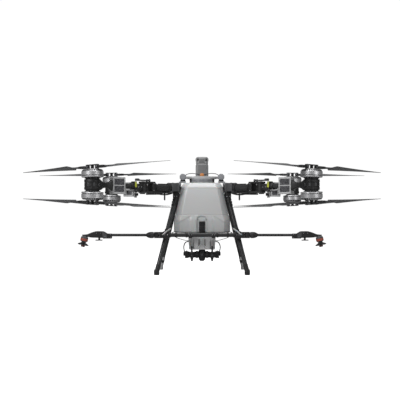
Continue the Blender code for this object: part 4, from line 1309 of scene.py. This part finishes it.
def boomPieces(name, side):
    body = f"boom_{name}"
    pivot = np.array(joints[f"boom_fold_{name}"]["pos_m"], float)
    place = frameAt(pivot, (side, 0, 0), (0, 0, 1))
    along = place @ facing((0, 0, 0), "X")
    tube = [turnedShell([(0.0098, 0.078), (0.0108, 0.079), (0.0108, 0.395), (0.0098, 0.396)], 36, along)]
    piece = addPiece(f"boomTube_{name}", tube, "carbonTube", body)
    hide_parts(f"boom_{name}")
    knuckle = [(0.005, -0.016), (0.0196, -0.016), (0.0203, -0.0152), (0.0203, 0.0152), (0.0196, 0.016),
               (0.005, 0.016)]
    shells = [ringShell(knuckle, 44, place), boxShell((0.01, 0.03), 0.0148, (-0.015, 0.015), 0.003, place)]
    sleeve = [(0.0205, 0.0219), (0.0224, 0.0226), (0.0246, 0.0285), (0.0249, 0.033), (0.0249, 0.047),
              (0.0243, 0.055), (0.0222, 0.063), (0.019, 0.0705), (0.0152, 0.0775), (0.0128, 0.0815),
              (0.0112, 0.082)]
    shells.append(turnedShell(sleeve, 44, along))
    # arched arm: rounded sections whose top and underside follow two curves out to the sprinkler
    x = np.linspace(0.3915, 0.591, 64)
    top = np.interp(x, (0.39, 0.418, 0.48, 0.515, 0.552, 0.592),
                    (0.0116, 0.0302, 0.0314, 0.0215, 0.006, 0.0033))
    low = np.interp(x, (0.39, 0.418, 0.48, 0.515, 0.545, 0.56, 0.592),
                    (-0.0235, -0.0235, -0.0215, -0.0205, -0.0165, -0.0095, -0.0043))
    soften = np.ones(7) / 7
    top = np.convolve(np.pad(top, 3, mode="edge"), soften, mode="valid")
    low = np.convolve(np.pad(low, 3, mode="edge"), soften, mode="valid")
    wide = np.interp(x, (0.39, 0.418, 0.48, 0.552, 0.592), (0.0128, 0.0138, 0.0138, 0.0118, 0.0096))
    rings = []
    for xi, lowZ, topZ, halfY in zip(x, low, top, wide):
        outline = roundedOutline(halfY, (topZ - lowZ) / 2, min(0.006, (topZ - lowZ) * 0.3), 5)
        rings.append(atStation(outline, xi, (topZ + lowZ) / 2))
    shells.append(gridShell(rings, place))
    shells += boxShells(
        place,
        ((0.3545, 0.4275), 0.0138, (-0.0278, 0.0122), 0.004),
        ((0.4485, 0.4635), 0.0078, (-0.039, -0.012), 0.002),
        ((0.4305, 0.4855), 0.0088, (-0.0442, -0.0367), 0.002),
    )
    addPiece(f"boomFittings_{name}", shells, "blackPlastic", body)
    # sloping cover plates on both sides of the arm's inner end
    slope = np.array([(0.393, -0.021), (0.427, -0.021), (0.433, 0.024), (0.42, 0.0262), (0.396, 0.006)])
    rings = [np.column_stack([slope[:, 0], np.full(5, y), slope[:, 1]]) for y in (0.0147, -0.0147)]
    plates = [gridShell(rings, place)]
    for at in (0.03, 0.0365, 0.043):
        band = [(0.0246, -0.0012), (0.0256, -0.0009), (0.0256, 0.0009), (0.0246, 0.0012)]
        plates.append(ringShell(band, 44, along @ shiftBy(0, 0, at)))
    addPiece(f"boomPlates_{name}", plates, "charcoal", body)
    bolts = []
    for s in (-1, 1):
        for at in ((0.366, -0.02), (0.366, 0.004), (0.408, -0.014), (0.445, 0.016), (0.478, 0.014)):
            reach = 0.0147 if 0.39 < at[0] < 0.42 else 0.0137
            bolts.append(boltShell(place @ facing((at[0], s * reach, at[1]), "Y", s), 0.0032, 0.0006))
    addPiece(f"boomBolts_{name}", bolts, "boltSteel", body)
    sprinklerPieces(name, side, body)


def sprinklerPieces(name, side, body):
    # turned case with grip ribs, an orange band split by a dark line, and the disc that spins below it
    spin = joints[f"spray_disc_spin_{name}"]
    up = unit(spin["axis"])
    head = frameAt(np.array(spin["pos_m"]) + 0.05 * up, (side, 0, 0), up)
    case = [(0.015, -0.0187), (0.0205, -0.0187), (0.0225, -0.0179), (0.0284, -0.013), (0.0294, -0.0112),
            (0.0284, -0.0106), (0.0284, 0.0082), (0.0294, 0.0086), (0.0288, 0.012), (0.0266, 0.0176),
            (0.0236, 0.0222), (0.019, 0.0254), (0.0155, 0.0262), (0.0142, 0.029), (0.0118, 0.0312)]
    shells = [turnedShell(case, 56, head)]
    for i in range(20):
        turn = head @ turnBy(18.0 * i) @ shiftBy(0.0272, 0, 0.0146)
        shells.append(boxShell((-0.002, 0.0016), 0.0014, (-0.005, 0.005), 0.0007, turn, steps=2))
    piece = addPiece(f"sprinklerCase_{name}", shells, "charcoal", body)
    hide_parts(f"sprinkler_{name}")
    band = [(0.028, -0.0104), (0.0296, -0.01), (0.0299, -0.008), (0.0299, 0.0056), (0.0296, 0.0078),
            (0.028, 0.008)]
    addPiece(f"sprinklerRing_{name}", [ringShell(band, 56, head)], "orange", body)
    lines = [ringShell([(0.0296, -0.002), (0.0301, -0.0016), (0.0301, 0.0004), (0.0296, 0.0008)], 56, head)]
    addPiece(f"sprinklerLine_{name}", lines, "rubber", body)

    # toothed spray disc: round hub, then a rim whose radius swings between tip and valley and
    # droops at the tips
    a = np.linspace(0, 2 * math.pi, 128, endpoint=False)
    tooth = (0.5 + 0.5 * np.cos(8 * a)) ** 1.6
    rim = 0.0262 + 0.0174 * tooth
    rings = []
    for star, size, z in ((0, 0.0172, -0.0198), (0, 0.0178, -0.0204), (0, 0.019, -0.0262),
                          (0.4, 0.84, -0.0292), (1, 0.96, -0.036), (1, 1.0, -0.0385), (1, 1.0, -0.043),
                          (1, 0.96, -0.0442), (0.5, 0.8, -0.0446), (0, 0.0158, -0.045), (0, 0.0153, -0.058),
                          (0, 0.014, -0.0596), (0, 0.006, -0.0598)):
        radius = size * (star * rim + (1 - star) * 0.0262) if star else np.full(128, size)
        rings.append(np.column_stack([radius * np.cos(a), radius * np.sin(a), z - 0.0022 * star * tooth]))
    discBody = f"spray_disc_{name}"
    disc = addPiece(f"sprayTeeth_{name}", [gridShell(rings, head)], "blackPlastic", discBody)
    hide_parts(f"spray_disc_{name}")
    trim = [ringShell([(0.0152, -0.052), (0.0158, -0.0516), (0.0158, -0.0496), (0.0152, -0.0492)], 40, head)]
    addPiece(f"sprayTip_{name}", trim, "orange", discBody)


for name, side in bothSides:
    boomPieces(name, side)


def sumpPieces():
    # tapered block: rounded sections, a little narrower at the foot
    rings = []
    for z, half, front, back in ((0.2002, 0.1005, -0.315, -0.19), (0.203, 0.103, -0.3178, -0.1862),
                                 (0.245, 0.1064, -0.321, -0.18), (0.29, 0.1096, -0.3256, -0.1722),
                                 (0.334, 0.1097, -0.3256, -0.1722), (0.3346, 0.108, -0.324, -0.174)):
        outline = roundedOutline(half, (back - front) / 2, 0.01, 5)
        outline[:, 1] += (back + front) / 2
        rings.append(atHeight(outline, z))
    piece = addPiece("sumpCase", [gridShell(rings)], "paleGrey")
    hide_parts("sump")
    # near-black slits in the face of the case: painted shade inside the slits
    slits = []
    for side in (-1, 1):
        slits += boxShells(
            None,
            ((side * 0.0215, side * 0.0262), (-0.3262, -0.315), (0.224, 0.286), 0.001),
            ((side * 0.066, side * 0.0685), (-0.325, -0.315), (0.212, 0.29), 0.0008),
            ((side * 0.1, side * 0.106), (-0.327, -0.32), (0.296, 0.329), 0.001),
        )
    addPiece("sumpSlits", slits, "gapShadeAndLensBlack")
    # forked clip in the middle, and shallow ribs down both sides
    ribs = [boxShell(0.0165, (-0.328, -0.318), (0.244, 0.306), 0.004)]
    for side in (-1, 1):
        knots = [(side * 0.01, -0.3255, 0.256), (side * 0.013, -0.3245, 0.242),
                 (side * 0.023, -0.3225, 0.226), (side * 0.036, -0.32, 0.208)]
        ribs.append(tubeShell(smoothPath(knots), 0.0046, 14))
        for i in range(4):
            x = 0.074 + 0.0072 * i
            ribs.append(boxShell((side * x, side * (x + 0.003)), (-0.3262, -0.316),
                                 (0.216, 0.296 - 0.004 * i), 0.0012))
        ribs.append(boxShell((side * 0.102, side * 0.1065), (-0.312, -0.192), (0.209, 0.219), 0.0015))
    addPiece("sumpRibs", ribs, "tankPlastic")


sumpPieces()


manifold = {
    "y": -0.252,
    "z": 0.158,
    "nozzleX": 0.082,
    "postY": -0.335,
    "stayX": 0.041,
}


def manifoldPieces():
    # lying body with stepped ends, a round belly in the middle, ports to the front and nozzles below
    y, z, stayX = manifold["y"], manifold["z"], manifold["stayX"]
    nozzleXs = (-manifold["nozzleX"], manifold["nozzleX"])
    line = facing((0, y, z), "X")
    half = [(0.018, -0.1378), (0.0285, -0.1378), (0.0298, -0.136), (0.0298, -0.124), (0.027, -0.1225),
            (0.027, -0.1195), (0.0298, -0.118), (0.0298, -0.1115), (0.0285, -0.1102), (0.0248, -0.1098),
            (0.0248, -0.1), (0.0226, -0.098), (0.0226, -0.064), (0.0248, -0.062), (0.0248, -0.03)]
    profile = half + [(r, -h) for r, h in reversed(half)]
    shells = [turnedShell(profile, 44, line)]
    belly = [(0.009, 0.1062), (0.015, 0.107), (0.0225, 0.115), (0.0262, 0.121), (0.0262, 0.126),
             (0.0294, 0.14), (0.0299, 0.15), (0.0299, 0.184), (0.0288, 0.189), (0.025, 0.195),
             (0.0222, 0.198), (0.012, 0.1992)]
    shells.append(turnedShell(belly, 48, shiftBy(0, y, 0)))
    for x in nozzleXs:
        # stepped nozzle that narrows to its tip, and the port that turns up in front of the sump
        nozzle = [(0.015, 0.145), (0.015, 0.134), (0.0132, 0.133), (0.0112, 0.13), (0.0112, 0.122),
                  (0.0092, 0.121), (0.0082, 0.112), (0.0066, 0.106), (0.0045, 0.1042)]
        shells.append(turnedShell(nozzle, 32, shiftBy(x, y, 0)))
        port = [(0.0128, 0.02), (0.0129, 0.048), (0.0116, 0.0495), (0.0116, 0.056), (0.0129, 0.0575),
                (0.0129, 0.084), (0.0112, 0.0858)]
        shells.append(turnedShell(port, 32, facing((x, y, z), "Y", -1)))
        post = [(0.0074, 0.16), (0.0074, 0.196), (0.0064, 0.1966), (0.0064, 0.202), (0.0074, 0.2026),
                (0.0074, 0.224), (0.0062, 0.229), (0.004, 0.2298)]
        shells.append(turnedShell(post, 24, shiftBy(x, manifold["postY"], 0)))
    port = [(0.0128, 0.02), (0.013, 0.038), (0.0118, 0.0395), (0.0118, 0.044), (0.0128, 0.045),
            (0.0128, 0.05), (0.01, 0.0518)]
    shells.append(turnedShell(port, 32, facing((0, y, z), "Y", -1)))
    for s in (-1, 1):
        shells.append(boxShell((s * stayX - 0.009, s * stayX + 0.009), (y - 0.03, y + 0.018),
                               (0.131, 0.188), 0.004))
        shells.append(boxShell((s * 0.13, s * 0.1513), (y - 0.0088, y + 0.0088), (z - 0.0098, 0.1795),
                               0.0045))
    piece = addPiece("manifold", shells, "blackPlastic")
    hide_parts("pump_manifold")
    nuts = []
    for x in nozzleXs:
        nuts.append(turnedShell([(0.0158, 0.133), (0.0168, 0.1338), (0.0168, 0.1412), (0.0158, 0.142)], 6,
                                shiftBy(x, y, 0)))
        nuts.append(boltShell(facing((x, y - 0.0856, z), "Y", -1), 0.007, 0.0006))
        nuts.append(boltShell(shiftBy(x, y, z + 0.022), 0.0075, 0.006))
    nuts.append(boltShell(facing((0, y - 0.0514, z), "Y", -1), 0.007, 0.0006))
    for s in (-1, 1):
        for high in (0.18, 0.16, 0.14):
            nuts.append(boltShell(facing((s * stayX, y - 0.0298, high), "Y", -1), 0.0042, 0.002))
        nuts.append(boltShell(shiftBy(s * 0.124, y, z + 0.029), 0.006, 0.004))
    addPiece("manifoldNuts", nuts, "charcoal")


manifoldPieces()


def hosePieces(name, side):
    # from the manifold's elbow out, up and back in to the side of the sump
    route = [(0.1435, -0.252, 0.18), (0.1435, -0.252, 0.184), (0.144, -0.252, 0.19), (0.147, -0.253, 0.21),
             (0.1465, -0.256, 0.228), (0.1405, -0.26, 0.2465), (0.129, -0.263, 0.2595),
             (0.119, -0.264, 0.2635), (0.114, -0.264, 0.264), (0.1092, -0.264, 0.264)]
    path = smoothPath(np.array(route) * (side, 1, 1), 10)
    hose = addPiece(f"hoseSkin_{name}", [tubeShell(path, 0.0041, 20)], "hoseRubber")
    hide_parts(f"hose_{name}")
    ends = [tubeShell(path[1:14], 0.0054, 20), tubeShell(path[-16:-1], 0.0054, 20)]
    addPiece(f"hoseEnds_{name}", ends, "boltSteel")


for name, side in bothSides:
    hosePieces(name, side)
print("stage: spraying gear made")


# floor, light and camera

def stageMaterial(name, colour, glow):
    material, nodes, links, shader = newMaterial(name, colour, 0.9)
    shader.inputs["Specular IOR Level"].default_value = 0.1
    shader.inputs["Emission Color"].default_value = (1, 1, 1, 1)
    seen = nodes.new("ShaderNodeLightPath")
    level = nodes.new("ShaderNodeMath")
    level.operation = "MULTIPLY"
    level.inputs[1].default_value = glow
    links.new(seen.outputs["Is Camera Ray"], level.inputs[0])
    links.new(level.outputs[0], shader.inputs["Emission Strength"])
    return material


floorMesh = bpy.data.meshes.new("floor")
floorMesh.from_pydata([(-40, -20, 0), (40, -20, 0), (40, 60, 0), (-40, 60, 0)], [], [(0, 1, 2, 3)])
floor = bpy.data.objects.new("floor", floorMesh)
floorMesh.materials.append(stageMaterial("floorPale", (0.55, 0.55, 0.55), 0.94))
bpy.context.scene.collection.objects.link(floor)

studio = {
    "world": 0.17,
    "key": ((-4.8, -5.2, 3.6), 300, 2.6),
    "fill": ((5.0, -4.8, 2.2), 105, 3.0),
    "top": ((0.0, -0.9, 5.2), 165, 4.0),
    "rim": ((0.0, 6.0, 3.0), 40, 4.0),
}


def addLight(name, place, power, size):
    light = bpy.data.lights.new(name, "AREA")
    light.energy = power
    light.size = size
    lamp = bpy.data.objects.new(name, light)
    bpy.context.scene.collection.objects.link(lamp)
    lamp.location = place
    aim = np.array([0.0, 0.0, 0.45]) - np.array(place)
    lamp.rotation_euler = (
        math.atan2(math.hypot(aim[0], aim[1]), -aim[2]), 0, math.atan2(aim[1], aim[0]) - math.pi / 2
    )


for name in ("key", "fill", "top", "rim"):
    addLight(name, *studio[name])

world = bpy.data.worlds.new("studio")
world.use_nodes = True
sky = world.node_tree.nodes["Background"]
sky.inputs["Color"].default_value = (1, 1, 1, 1)
path = world.node_tree.nodes.new("ShaderNodeLightPath")
spread = world.node_tree.nodes.new("ShaderNodeMapRange")
spread.inputs["To Min"].default_value = studio["world"]
spread.inputs["To Max"].default_value = 1.02
world.node_tree.links.new(path.outputs["Is Camera Ray"], spread.inputs["Value"])
world.node_tree.links.new(spread.outputs["Result"], sky.inputs["Strength"])
bpy.context.scene.world = world
bpy.context.scene.view_settings.view_transform = "Standard"

cameraData = bpy.data.cameras.new("camera")
cameraData.sensor_width = 36
cameraData.lens = 91.8
cameraData.shift_x = -0.005
cameraData.shift_y = 0.03
camera = bpy.data.objects.new("camera", cameraData)
camera.location = (0.0, -8.52, 0.503)
camera.rotation_euler = (math.pi / 2, 0, 0)
bpy.context.scene.collection.objects.link(camera)
bpy.context.scene.camera = camera
print("stage: studio made")
